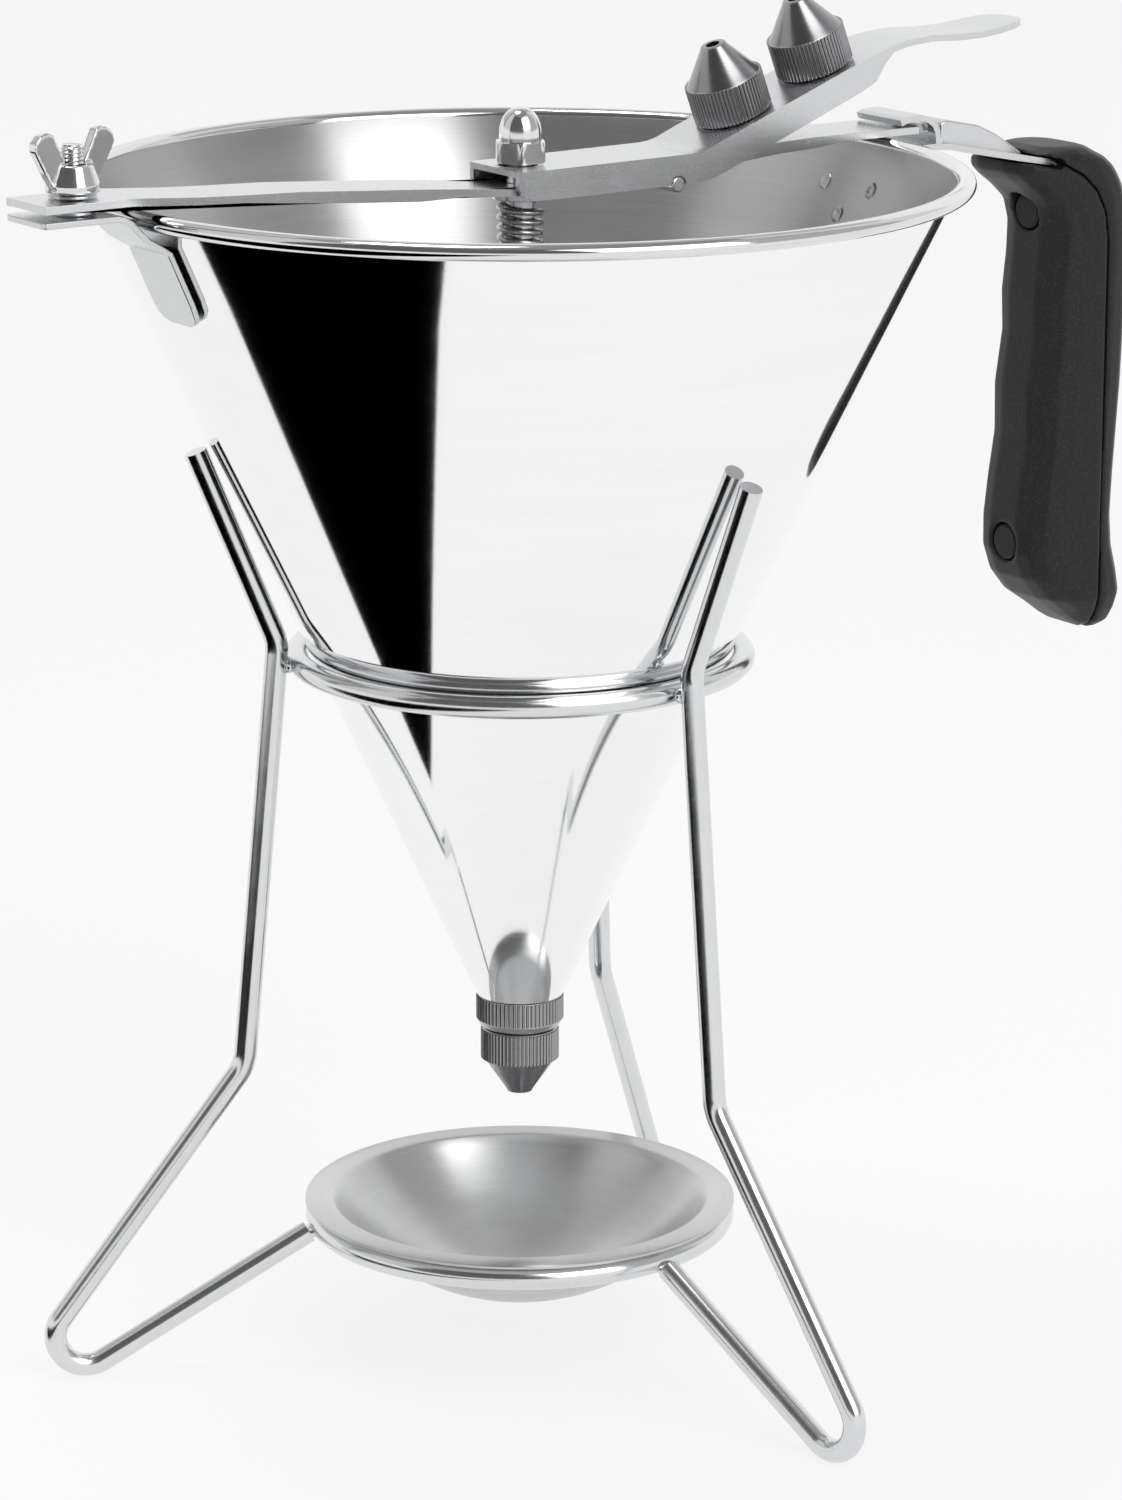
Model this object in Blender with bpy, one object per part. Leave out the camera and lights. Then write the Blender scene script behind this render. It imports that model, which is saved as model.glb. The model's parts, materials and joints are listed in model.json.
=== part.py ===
"""Dispensing funnel with a lever valve, resting in a wire stand over a drip dish.

The funnel's axis is built on the Z axis and the floor lies at z = 0. The crossbar and the
handle point along +X. The last step moves the whole model so that its origin lies at the
bottom centre of its bounding box.
"""
import math

import bpy
import bmesh
from mathutils import Matrix, Vector

for old in list(bpy.data.objects):
    bpy.data.objects.remove(old, do_unlink=True)

# Clearances shared by all pieces
seat_gap = 0.0003
overrun = 0.002

# Funnel cone and rolled bead
rim_height = 0.2574
rim_radius = 0.0915
wall_slope = 0.4638
wall = 0.0008
bead_offset = 0.0013
bead_half_width = 0.0022
bead_half_height = 0.0018
cone_depth = 0.1772

# Outlet collar, seal and nozzles
collar_radius = 0.0095
collar_band = 0.0053
collar_chamfer = 0.0018
collar_bore = 0.0042
collar_seat_depth = 0.005
spigot_radius = 0.006
spigot_length = 0.0054
knurl_depth = 0.00035
nozzle_radius = 0.0085
nozzle_band = 0.0076
spare_band = 0.0089
nozzle_cone = 0.0071
nozzle_tip_radius = 0.0025
nozzle_bore = 0.0015
nozzle_chamfer = 0.0004
nozzle_throat = 0.003
seal_thickness = 0.0018

# Crossbar
bar_half = 0.00775
bar_sheet = 0.0015
bar_dip = 0.0007
bar_left_reach = 0.118
bar_left_lift = 0.0062
bar_right_reach = 0.1013
bar_turn_down = 0.0009
bar_least_turn = 0.0001
bar_tongue_half = 0.0045
bar_tongue = 0.0052
rod_hole = 0.0035
# Rows of: share of the reach, share of the lift, share of the turned-down edge
bar_left_shares = (
    (1.0, 1.0, 0.0), (0.83, 1.0, 0.0), (0.7, 0.82, 0.0), (0.61, 0.74, 0.0), (0.5, 0.66, 0.8),
    (0.38, 0.5, 1.0), (0.25, 0.32, 1.0), (0.16, 0.18, 0.0), (0.06, 0.0, 0.0))
bar_right_shares = (
    (0.1, 0.0, 0.0), (0.22, 0.12, 0.0), (0.335, 0.3, 0.0), (0.4, 0.34, 0.0), (0.46, 0.55, 0.2),
    (0.54, 0.8, 1.0), (0.61, 0.94, 1.0), (0.7, 1.0, 0.9), (0.78, 1.0, 0.0), (0.985, 1.0, 0.0))

# Clamp bracket, stud, washer and wing nut
clamp_reach = 0.1073
tab_half = 0.0078
tab_sheet = 0.0013
tab_reach = 0.1185
tab_gap = 0.0016
bracket_drop = 0.0222
bracket_join_drop = 0.0064
stud_radius = 0.0024
stud_top = 0.0107
shoulder_radius = 0.0045
washer_radius = 0.005
washer_thickness = 0.0006
nut_base_radius = 0.0055
nut_hub_radius = 0.0041
nut_base_height = 0.0016
nut_hub_height = 0.0056
nut_wing_span = 0.0105
nut_wing_height = 0.0125
nut_wing_sheet = 0.0021
nut_turn = 12.0

# Lever and its retaining pin
lever_half = 0.00975
lever_sheet = 0.0013
lever_flange = 0.0062
lever_stub = 0.0065
lever_reach = 0.131
lever_lift = 0.0033
lever_rise = 0.0218
lever_slot_radius = 0.0042
lever_slot_offset = 0.0006
pin_reach = 0.0338
pin_radius = 0.0017
pin_drop = 0.003
# Rows of: share of the reach, share of the rise, share of the half width, share of the flange
lever_shares = (
    (0.02, 0.0, 1.0, 1.0), (0.15, 0.005, 1.0, 1.0), (0.286, 0.014, 1.0, 1.0),
    (0.302, 0.022, 1.0, 1.0), (0.318, 0.045, 1.0, 1.03), (0.36, 0.145, 1.0, 1.06),
    (0.47, 0.394, 1.0, 1.03), (0.61, 0.713, 1.0, 0.98), (0.645, 0.78, 1.0, 0.85),
    (0.672, 0.827, 0.97, 0.3), (0.7, 0.868, 0.87, 0.0), (0.735, 0.91, 0.83, 0.0),
    (0.785, 0.935, 0.82, 0.0), (0.84, 0.92, 0.82, 0.0), (0.89, 0.925, 0.82, 0.0),
    (0.93, 0.95, 0.8, 0.0), (0.965, 0.98, 0.72, 0.0), (0.988, 0.995, 0.55, 0.0),
    (1.0, 1.0, 0.33, 0.0))
spare_reaches = (0.0553, 0.077)
spare_stud_height = 0.006

# Valve rod with cap nut, return spring, stop and plug
rod_radius = 0.003
rod_top = 0.0096
cap_lift = 0.0036
cap_flats = 0.005
cap_hex_height = 0.0043
cap_height = 0.0114
cap_dome_radius = 0.0045
cap_wall = 0.0012
spring_radius = 0.0044
spring_wire = 0.0006
spring_turns = 22
spring_pitch = 0.0021
spring_washer_radius = 0.006
spring_washer_thickness = 0.0015
stop_radius = 0.006
stop_height = 0.005
plug_radius = 0.0055
plug_length = 0.010
plug_socket = 0.006

# Handle bracket: strap, hook, window and stiffening rib
strap_half = 0.00775
strap_sheet = 0.0014
strap_start = 0.0975
strap_fall = 0.026
strap_short = 0.015
# Rows of: share of the way out to the turn, share of the fall
strap_shares = (
    (0.0, 0.073), (0.066, 0.046), (0.14, 0.044), (0.214, 0.06), (0.326, 0.11), (0.568, 0.212),
    (0.754, 0.285), (0.857, 0.396), (0.933, 0.538), (0.981, 0.73), (1.0, 1.0))
hook_reach = 0.1052
hook_height = 0.0062
hook_depth = 0.0108
# Rows of: share of the hook's depth inwards, share of its height above the rim's centre
hook_shares = (
    (-0.02, -0.18), (0.0, 0.15), (0.02, 0.45), (0.1, 0.72), (0.25, 0.91), (0.45, 1.0), (0.66, 1.0),
    (0.84, 0.96), (0.96, 0.88))
window_half = 0.0052
window_play = 0.0005
rib_half = 0.0036
rib_gap = 0.004
rib_length = 0.0233
rib_start = hook_reach + rib_gap
rib_end = rib_start + rib_length
rib_height = 0.0037
rib_top_half = 0.0016
strap_beyond_rib = 0.0187
strap_reach = rib_end + strap_beyond_rib

# Handle: a front grip and a rear spine clamp the strap between them
handle_top = 0.004
handle_height = 0.111
spine_depth = 0.0096
handle_back = strap_reach + spine_depth
handle_depth = 0.025
handle_half = 0.012
handle_corner = 0.0075
# Share of the way out to the strap's turn that the open slot covers
slot_share = 0.773
slot_play = 0.0001
# Rows of: share of the height, share of the depth to the front and to the back, share of the half width
handle_shares = (
    (0.0, 0.992, 0.592, 0.67), (0.0045, 1.072, 0.488, 0.83), (0.0144, 1.328, 0.42, 0.95),
    (0.027, 1.384, 0.312, 1.0), (0.045, 1.376, 0.212, 1.0), (0.063, 1.292, 0.152, 1.0),
    (0.0856, 1.152, 0.096, 1.0), (0.117, 1.0, 0.048, 1.0), (0.162, 0.944, 0.016, 1.0),
    (0.225, 0.952, 0.0, 1.0), (0.306, 0.992, 0.02, 1.0), (0.387, 0.976, 0.032, 1.0),
    (0.495, 1.048, 0.052, 1.0), (0.595, 1.04, 0.084, 1.0), (0.685, 1.104, 0.112, 1.0),
    (0.766, 1.148, 0.128, 1.0), (0.829, 1.144, 0.104, 1.0), (0.883, 1.056, 0.04, 1.0),
    (0.928, 0.888, 0.004, 1.0), (0.959, 0.692, 0.016, 0.92), (0.986, 0.512, 0.112, 0.79),
    (1.0, 0.412, 0.212, 0.58))
plug_cover_radius = 0.0041
plug_cover_recess = 0.0004
screw_head_radius = 0.0035
screw_head_height = 0.0024
screw_radius = 0.002
# Shares of the handle's height down from its top
screw_shares = (0.135135, 0.810811)
screw_floor = 0.008
screw_bite = 0.0045

# Wire stand
wire = 0.00245
ring_drop = 0.1017
ring_height = rim_height - ring_drop
leg_tip_drop = 0.055
leg_tip_height = rim_height - leg_tip_drop
leg_waist_rise = 0.005
leg_waist_bend = 0.010
leg_knee_radius = 0.0605
leg_knee_height = 0.0679
leg_knee_bend = 0.010
foot_reach = 0.0956
foot_bend = 0.0069
leg_turns = (38.0, 158.0, 278.0)

# Drip dish in the lower ring
dish_ring_radius = 0.0443
dish_ring_height = 0.0305
dish_flange_radius = 0.0468
dish_sheet = 0.0009
dish_bottom = 0.0138
# Rows of: share of the bowl's radius, share of the bowl's depth
dish_shares = (
    (1.0, 0.97), (0.955, 0.865), (0.893, 0.719), (0.794, 0.518), (0.695, 0.358), (0.596, 0.229),
    (0.496, 0.126), (0.397, 0.044), (0.335, 0.0))

round_count = 40
small_count = 24
fine_count = 16
cone_count = 56


def material(name, colour, rough, metal):
    look = bpy.data.materials.new(name)
    look.use_nodes = True
    shader = look.node_tree.nodes["Principled BSDF"]
    shader.inputs["Base Color"].default_value = (*colour, 1.0)
    shader.inputs["Roughness"].default_value = rough
    shader.inputs["Metallic"].default_value = metal
    return look


STEEL = ((0.62, 0.63, 0.64), 0.24, 1.0)
BRUSHED = ((0.56, 0.57, 0.58), 0.38, 1.0)
POLISHED = ((0.7, 0.71, 0.72), 0.12, 1.0)
BLACK = ((0.018, 0.018, 0.019), 0.55, 0.0)
RUBBER = ((0.03, 0.03, 0.032), 0.7, 0.0)


def add_object(name, form, look):
    """Turn a bmesh into one named object with its own material."""
    bmesh.ops.recalc_face_normals(form, faces=form.faces)
    mesh = bpy.data.meshes.new(name)
    form.to_mesh(mesh)
    form.free()
    mesh.shade_smooth()
    mesh.set_sharp_from_angle(angle=math.radians(30))
    mesh.materials.append(material(name, *look))
    body = bpy.data.objects.new(name, mesh)
    bpy.context.scene.collection.objects.link(body)
    return body


def place(body, spot, parent=None):
    """Put the origin at a world point and keep the shape where it is."""
    body.data.transform(Matrix.Translation(-Vector(spot)))
    body.location = Vector(spot)
    if parent is not None:
        body.parent = parent
        body.location = Vector(spot) - parent.location
    return body


def turned(name, profile, look, count=round_count):
    """Revolve a closed profile of (radius, height) or (radius, height, tooth depth)."""
    form = bmesh.new()
    rows = []
    for radius, height, *tooth in profile:
        if radius == 0:
            rows.append([form.verts.new((0, 0, height))] * count)
            continue
        row = []
        for index in range(count):
            angle = math.tau * index / count
            reach = radius - (tooth[0] if tooth else 0) * (index % 2)
            row.append(form.verts.new((reach * math.cos(angle), reach * math.sin(angle), height)))
        rows.append(row)
    for here, there in zip(rows, rows[1:] + rows[:1]):
        for index in range(count):
            after = (index + 1) % count
            corners = []
            for vert in (here[index], here[after], there[after], there[index]):
                if vert not in corners:
                    corners.append(vert)
            if len(corners) > 2:
                form.faces.new(corners)
    return add_object(name, form, look)


def strip(name, stations, sheet, up, look, flanged=False):
    """Sheet along a line of (x, z, half width, edge depth), up = its top face above the line."""
    form = bmesh.new()
    rows = []
    last = len(stations) - 1
    for index, (x, z, half, drop) in enumerate(stations):
        before = stations[max(index - 1, 0)]
        after = stations[min(index + 1, last)]
        run = Vector((after[0] - before[0], 0, after[1] - before[1])).normalized()
        normal = Vector((-run.z, 0, run.x))
        inner = half - sheet
        if flanged:
            section = ((-half, 0), (-half, -drop), (-inner, -drop), (-inner, -sheet),
                       (inner, -sheet), (inner, -drop), (half, -drop), (half, 0))
        else:
            section = ((-half, 0), (-half, -sheet), (half, -sheet), (half, 0))
        row = []
        for across, level in section:
            point = Vector((x, across, z)) + normal * (up + level)
            row.append(form.verts.new(point))
        rows.append(row)
    for here, there in zip(rows, rows[1:]):
        for index in range(len(here)):
            after = (index + 1) % len(here)
            form.faces.new((here[index], here[after], there[after], there[index]))
    form.faces.new(rows[0])
    form.faces.new(rows[-1])
    return add_object(name, form, look)


def slab(name, outline, half, look):
    """Extrude an outline of (x, z) points to both sides of the plane y = 0."""
    form = bmesh.new()
    near = [form.verts.new((x, -half, z)) for x, z in outline]
    far = [form.verts.new((x, half, z)) for x, z in outline]
    form.faces.new(near)
    form.faces.new(far)
    for index in range(len(outline)):
        after = (index + 1) % len(outline)
        form.faces.new((near[index], near[after], far[after], far[index]))
    return add_object(name, form, look)


def rounded(front, back, half, corner, level, steps=3):
    """One level of the handle: a rectangle with round corners."""
    corner = min(corner, (back - front) / 2.2, half / 1.1)
    points = []
    for turn, x, y in ((0, back - corner, half - corner), (1, front + corner, half - corner),
                       (2, front + corner, corner - half), (3, back - corner, corner - half)):
        for step in range(steps + 1):
            angle = math.pi / 2 * (turn + step / steps)
            points.append((x + corner * math.cos(angle), y + corner * math.sin(angle), level))
    return points


def loft(name, sections, look):
    form = bmesh.new()
    rows = [[form.verts.new(point) for point in section] for section in sections]
    for here, there in zip(rows, rows[1:]):
        for index in range(len(here)):
            after = (index + 1) % len(here)
            form.faces.new((here[index], here[after], there[after], there[index]))
    form.faces.new(rows[0])
    form.faces.new(rows[-1])
    return add_object(name, form, look)


def cylinder(name, radius, start, finish, look, count=fine_count):
    """A plain round bar between two points."""
    start = Vector(start)
    finish = Vector(finish)
    form = bmesh.new()
    bmesh.ops.create_cone(form, cap_ends=True, segments=count, radius1=radius, radius2=radius,
                          depth=(finish - start).length)
    turn = Vector((0, 0, 1)).rotation_difference(finish - start).to_matrix().to_4x4()
    bmesh.ops.transform(form, matrix=Matrix.Translation((start + finish) / 2) @ turn, verts=form.verts)
    return add_object(name, form, look)


def combine(body, tool, operation):
    """Cut or add a guide solid, which then stays hidden."""
    step = body.modifiers.new(tool.name, "BOOLEAN")
    step.operation = operation
    step.solver = "EXACT"
    step.object = tool
    tool.hide_render = True
    tool.display_type = "WIRE"
    return body


def wall_radius(height):
    """Outer radius of the cone's wall at a height."""
    return rim_radius - wall_slope * (rim_height - height)


def foot_line(sheet, side):
    """Centre line of a bracket's welded foot, from the join down the cone's outside."""
    offset = (seat_gap + sheet / 2) / math.cos(math.atan(wall_slope))
    slant = 1 / math.cos(math.atan(wall_slope))
    points = []
    for share in (0.0, 0.35, 0.7, 0.87, 0.96, 1.0):
        height = rim_height - bracket_join_drop - share * (bracket_drop - bracket_join_drop)
        points.append((side * (wall_radius(height) + offset * slant), height))
    return points


# Funnel cone with its rolled bead
wall_across = wall / math.cos(math.atan(wall_slope))
bead_radius = rim_radius + bead_offset
cone_end = rim_height - cone_depth
cone_profile = [(wall_radius(cone_end), cone_end)]
for degrees in (210, 240, 275, 315, 355, 35, 70, 100, 140):
    turn = math.radians(degrees)
    cone_profile.append((bead_radius + bead_half_width * math.cos(turn),
                         rim_height + bead_half_height * math.sin(turn)))
cone_profile.append((rim_radius - wall_across, rim_height))
cone_profile.append((wall_radius(cone_end) - wall_across, cone_end))
cone = turned("funnel_cone", cone_profile, BRUSHED, cone_count)

# Outlet collar with its seat and threaded spigot
collar_top = cone_end - seat_gap
collar_low = collar_top - collar_band - collar_chamfer
spigot_end = collar_low - spigot_length
collar = turned("outlet_collar", (
    (collar_radius, collar_top, knurl_depth), (collar_radius, collar_top - collar_band, knurl_depth),
    (collar_radius - (collar_chamfer / 2), collar_low), (spigot_radius, collar_low),
    (spigot_radius, spigot_end), (collar_bore, spigot_end),
    (collar_bore, collar_top - collar_seat_depth),
    (wall_radius(cone_end) - wall_across, collar_top)), STEEL)


def nozzle_profile(band):
    """Nozzle with its open socket at height zero and its tip pointing up."""
    socket = spigot_radius + seat_gap
    return ((nozzle_radius - nozzle_chamfer, 0), (nozzle_radius, nozzle_chamfer, knurl_depth),
            (nozzle_radius, band - nozzle_chamfer, knurl_depth), (nozzle_radius - nozzle_chamfer, band),
            (nozzle_tip_radius, band + nozzle_cone), (nozzle_bore, band + nozzle_cone),
            (nozzle_throat, band), (socket, band), (socket, 0))


# Seal and the fitted nozzle, tip down
seal_top = spigot_end - seat_gap
seal_low = seal_top - seal_thickness
seal = turned("nozzle_seal", (
    (spigot_radius, seal_top), (spigot_radius, seal_low), (nozzle_throat + seat_gap, seal_low),
    (nozzle_throat + seat_gap, seal_top)), RUBBER, small_count)
place(seal, (0, 0, seal_low))
nozzle_top = collar_low - seat_gap
fitted_band = nozzle_top - seal_low + seat_gap
nozzle = turned("dispensing_nozzle", nozzle_profile(fitted_band), STEEL)
nozzle.data.transform(Matrix.Rotation(math.pi, 4, "X"))
nozzle.location = (0, 0, nozzle_top)

# Crossbar, lying on the bead at its right end
bar_zero = rim_height - bar_dip
bar_right_lift = bead_half_height + seat_gap + bar_sheet + bar_least_turn + bar_dip
bar_stations = []
for out, lift, turned_share in bar_left_shares:
    bar_stations.append((-out * bar_left_reach, bar_zero + lift * bar_left_lift, bar_half,
                         bar_sheet + bar_least_turn + turned_share * bar_turn_down))
for out, lift, turned_share in bar_right_shares:
    bar_stations.append((out * bar_right_reach, bar_zero + lift * bar_right_lift, bar_half,
                         bar_sheet + bar_least_turn + turned_share * bar_turn_down))
bar_end = bar_zero + bar_right_lift
bar_stations.append((bar_right_reach, bar_end, bar_tongue_half, bar_sheet + bar_least_turn))
bar_stations.append((bar_right_reach + bar_tongue, bar_end, bar_tongue_half,
                     bar_sheet + bar_least_turn))
bar = strip("crossbar", bar_stations, bar_sheet, 0, STEEL, flanged=True)
bar_clamp_top = bar_zero + bar_left_lift
tool_high = rim_height + bar_left_reach
combine(bar, cylinder("rod_hole_cut", rod_hole, (0, 0, cone_end), (0, 0, tool_high), STEEL), "DIFFERENCE")

# Clamp bracket welded to the cone
tab_top = bar_clamp_top - bar_sheet - bar_least_turn - tab_gap
tab_middle = tab_top - tab_sheet / 2
bracket_foot = foot_line(tab_sheet, -1)
tab_bend = bead_radius + bead_half_width + tab_sheet * 4
bracket_stations = [
    (-tab_reach, tab_middle, tab_half * 0.8), (-tab_reach + tab_sheet / 2, tab_middle, tab_half),
    (-tab_bend - tab_sheet, tab_middle, tab_half), (-tab_bend, tab_middle - tab_sheet / 6, tab_half),
    (-tab_bend + tab_sheet * 1.4, tab_middle - tab_sheet, tab_half),
    (-tab_bend + tab_sheet * 2.7, tab_middle - tab_sheet * 2.4, tab_half),
    (-tab_bend + tab_sheet * 4.4, tab_middle - tab_sheet * 4.0, tab_half),
    (-tab_bend + tab_sheet * 6.6, tab_middle - tab_sheet * 5.3, tab_half)]
for (x, z), width in zip(bracket_foot, (1.0, 1.0, 1.0, 0.93, 0.75, 0.5)):
    bracket_stations.append((x, z, tab_half * width))
bracket = strip("clamp_bracket", [(*item, tab_sheet) for item in bracket_stations], tab_sheet,
                tab_sheet / 2, STEEL)

# Stud with a shoulder between the tab and the bar
stud_end = bar_clamp_top + stud_top
shoulder_low = tab_top + seat_gap
shoulder_top = tab_top + tab_gap - seat_gap
stud = turned("clamp_stud", (
    (0, stud_end), (stud_radius - seat_gap, stud_end), (stud_radius, stud_end - seat_gap),
    (stud_radius, shoulder_top), (shoulder_radius, shoulder_top), (shoulder_radius, shoulder_low),
    (stud_radius, shoulder_low), (stud_radius, tab_top - tab_sheet), (0, tab_top - tab_sheet)),
    STEEL, fine_count)
stud.location = (-clamp_reach, 0, 0)
stud_hole = cylinder("stud_hole_cut", stud_radius + seat_gap, (-clamp_reach, 0, cone_end),
                     (-clamp_reach, 0, tool_high), STEEL)
combine(bracket, stud_hole, "DIFFERENCE")
combine(bar, stud_hole, "DIFFERENCE")

# Washer and wing nut on the stud
washer_low = bar_clamp_top + seat_gap
washer_top = washer_low + washer_thickness
washer = turned("wing_nut_washer", (
    (washer_radius, washer_low), (washer_radius, washer_top), (stud_radius + seat_gap, washer_top),
    (stud_radius + seat_gap, washer_low)), STEEL, small_count)
washer.data.transform(Matrix.Translation((0, 0, -washer_low)))
washer.location = (-clamp_reach, 0, washer_low)
nut_low = washer_top + seat_gap
wing_nut = turned("wing_nut", (
    (nut_base_radius, 0), (nut_base_radius, nut_base_height), (nut_hub_radius, nut_hub_height),
    (0, nut_hub_height), (0, 0)), POLISHED, small_count)
wing_points = ((0.2, 0.1), (0.5, 0.06), (0.69, 0.27), (1.0, 0.72), (0.98, 0.85), (0.85, 0.96),
               (0.68, 1.0), (0.54, 0.96), (0.38, 0.7), (0.2, 0.43))
for side, wing_name in ((1, "wing_right"), (-1, "wing_left")):
    outline = [(side * x * nut_wing_span, z * nut_wing_height) for x, z in wing_points]
    wing = slab(wing_name, outline, nut_wing_sheet / 2, POLISHED)
    combine(wing_nut, wing, "UNION")
    wing.parent = wing_nut
nut_bore = cylinder("wing_nut_bore_cut", stud_radius + seat_gap, (0, 0, -overrun),
                    (0, 0, nut_hub_height + overrun), STEEL)
combine(wing_nut, nut_bore, "DIFFERENCE")
nut_bore.parent = wing_nut
wing_nut.location = (-clamp_reach, 0, nut_low)
wing_nut.rotation_euler = (0, 0, math.radians(nut_turn))

# Lever and its retaining pin under the bar
pin_spot = (pin_reach, 0, rim_height - pin_drop)
lever_zero = rim_height + lever_lift - (lever_sheet / 4)


def lever_top(reach):
    """Height of the lever's top face at a distance from the funnel's axis."""
    rows = lever_shares
    for (out, lift, *_), (far, rise, *_) in zip(rows, rows[1:]):
        if reach <= far * lever_reach:
            part = (reach / lever_reach - out) / (far - out)
            return lever_zero + (lift + part * (rise - lift)) * lever_rise
    return lever_zero + lever_rise


lever_stations = [
    (-lever_stub, lever_zero, lever_half * 0.93, lever_flange * 0.6),
    (-lever_stub * 0.85, lever_zero, lever_half, lever_flange * 0.85),
    (-lever_stub * 0.5, lever_zero, lever_half, lever_flange)]
for out, lift, width, flange in lever_shares:
    lever_stations.append((out * lever_reach, lever_zero + lift * lever_rise, width * lever_half,
                           lever_sheet + bar_least_turn + flange * (lever_flange - lever_sheet)))
lever = strip("lever", lever_stations, lever_sheet, 0, STEEL, flanged=True)
combine(lever, cylinder("lever_slot_cut", lever_slot_radius, (-lever_slot_offset, 0, rim_height),
                        (-lever_slot_offset, 0, tool_high), STEEL), "DIFFERENCE")
pin_side = Vector((0, lever_half, 0))
combine(lever, cylinder("pin_notch_cut", pin_radius + seat_gap, Vector(pin_spot) - pin_side * 2,
                        Vector(pin_spot) + pin_side * 2, STEEL), "DIFFERENCE")
place(lever, pin_spot)
pin = cylinder("fulcrum_pin", pin_radius, Vector(pin_spot) - pin_side, Vector(pin_spot) + pin_side,
               POLISHED)
place(pin, pin_spot, lever)

# Two spare nozzles on studs along the lever's slope
slope = math.atan2(lever_top(spare_reaches[1]) - lever_top(spare_reaches[0]),
                   spare_reaches[1] - spare_reaches[0])
for letter, reach in zip("ab", spare_reaches):
    spot = Vector((reach, 0, lever_top(reach)))
    seat = Vector((-math.sin(slope), 0, math.cos(slope))) * seat_gap
    post = turned("spare_nozzle_stud_" + letter, (
        (0, spare_stud_height), (spigot_radius - nozzle_chamfer, spare_stud_height),
        (spigot_radius, spare_stud_height - nozzle_chamfer), (spigot_radius, 0), (0, 0)), STEEL, small_count)
    spare = turned("spare_nozzle_" + letter, nozzle_profile(spare_band), STEEL)
    for body in (post, spare):
        body.parent = lever
        body.rotation_euler = (0, -slope, 0)
        body.location = spot + seat - Vector(pin_spot)

# Valve rod, cap nut, washer, return spring, stop and plug
collar_seat = collar_top - collar_seat_depth
plug_low = collar_top - collar_seat_depth - seat_gap
plug_top = plug_low + plug_length + collar_seat_depth
rod_low = plug_top - plug_socket + seat_gap
rod = turned("valve_rod", (
    (0, rim_height + rod_top), (rod_radius, rim_height + rod_top), (rod_radius, rod_low),
    (0, rod_low)), STEEL, fine_count)
cap_low = rim_height + cap_lift
cap_bore = rod_radius + seat_gap
cap_bore_top = rim_height + rod_top + seat_gap
cap_corner = cap_flats / math.cos(math.pi / 6)
dome_base = cap_low + cap_hex_height
dome_height = cap_height - cap_hex_height
cap_profile = [(cap_flats, cap_low), (cap_dome_radius, dome_base)]
for degrees in (25, 45, 62, 78):
    turn = math.radians(degrees)
    cap_profile.append((cap_dome_radius * math.cos(turn) ** 0.7,
                        dome_base + dome_height * math.sin(turn)))
cap_profile += [(0, dome_base + dome_height), (0, cap_bore_top), (cap_bore, cap_bore_top),
                (cap_bore, cap_low)]
cap = turned("cap_nut", cap_profile, POLISHED, small_count)
hex_form = bmesh.new()
bmesh.ops.create_cone(hex_form, cap_ends=True, segments=6, radius1=cap_corner, radius2=cap_corner,
                      depth=cap_hex_height)
hexagon = add_object("cap_hexagon", hex_form, POLISHED)
hexagon.data.transform(Matrix.Translation((0, 0, cap_low + cap_hex_height / 2)))
hex_bore = cylinder("cap_hexagon_bore_cut", cap_bore, (0, 0, rim_height), (0, 0, cap_bore_top), STEEL)
combine(cap, hexagon, "UNION")
combine(cap, hex_bore, "DIFFERENCE")

spring_washer_top = bar_zero - bar_sheet - bar_least_turn - seat_gap
spring_washer_low = spring_washer_top - spring_washer_thickness
spring_washer = turned("spring_washer", (
    (spring_washer_radius, spring_washer_top), (spring_washer_radius, spring_washer_low),
    (rod_hole, spring_washer_low), (rod_hole, spring_washer_top)), STEEL, small_count)

spring_top = spring_washer_low - seat_gap - spring_wire
points_per_turn = 8
spring_points = []
for index in range(spring_turns * points_per_turn + 1):
    turn = math.tau * index / points_per_turn
    spring_points.append((spring_radius * math.cos(turn), spring_radius * math.sin(turn),
                          spring_top - spring_pitch * index / points_per_turn))
curve = bpy.data.curves.new("return_spring", "CURVE")
curve.dimensions = "3D"
curve.bevel_depth = spring_wire
curve.bevel_resolution = 1
curve.use_fill_caps = True
line = curve.splines.new("POLY")
line.points.add(len(spring_points) - 1)
for point, spot in zip(line.points, spring_points):
    point.co = (*spot, 1.0)
curve.materials.append(material("return_spring", *STEEL))
spring = bpy.data.objects.new("return_spring", curve)
bpy.context.scene.collection.objects.link(spring)
nearest = min((Vector(a) - Vector(b)).length
              for place_a, a in enumerate(spring_points[:points_per_turn * 2])
              for b in spring_points[place_a + points_per_turn // 2:points_per_turn * 4])
print("spring least gap to itself, mm:", round((nearest - 2 * spring_wire) * 1000, 3))

stop_top = spring_points[-1][2] - spring_wire - seat_gap
stop = turned("spring_stop", (
    (stop_radius, stop_top), (stop_radius, stop_top - stop_height),
    (rod_radius + seat_gap, stop_top - stop_height), (rod_radius + seat_gap, stop_top)), STEEL, small_count)

seat_run = wall_radius(cone_end) - wall_across - collar_bore
plug_seat = plug_low + seat_gap * 2 + collar_seat_depth * (plug_radius - collar_bore) / seat_run
plug_nose = collar_bore - seat_gap * 3
plug = turned("valve_plug", (
    (0, plug_top - plug_socket), (rod_radius + seat_gap, plug_top - plug_socket),
    (rod_radius + seat_gap, plug_top), (plug_radius, plug_top), (plug_radius, plug_seat + seat_gap * 2),
    (plug_nose, plug_low), (0, plug_low)), RUBBER, small_count)

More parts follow.
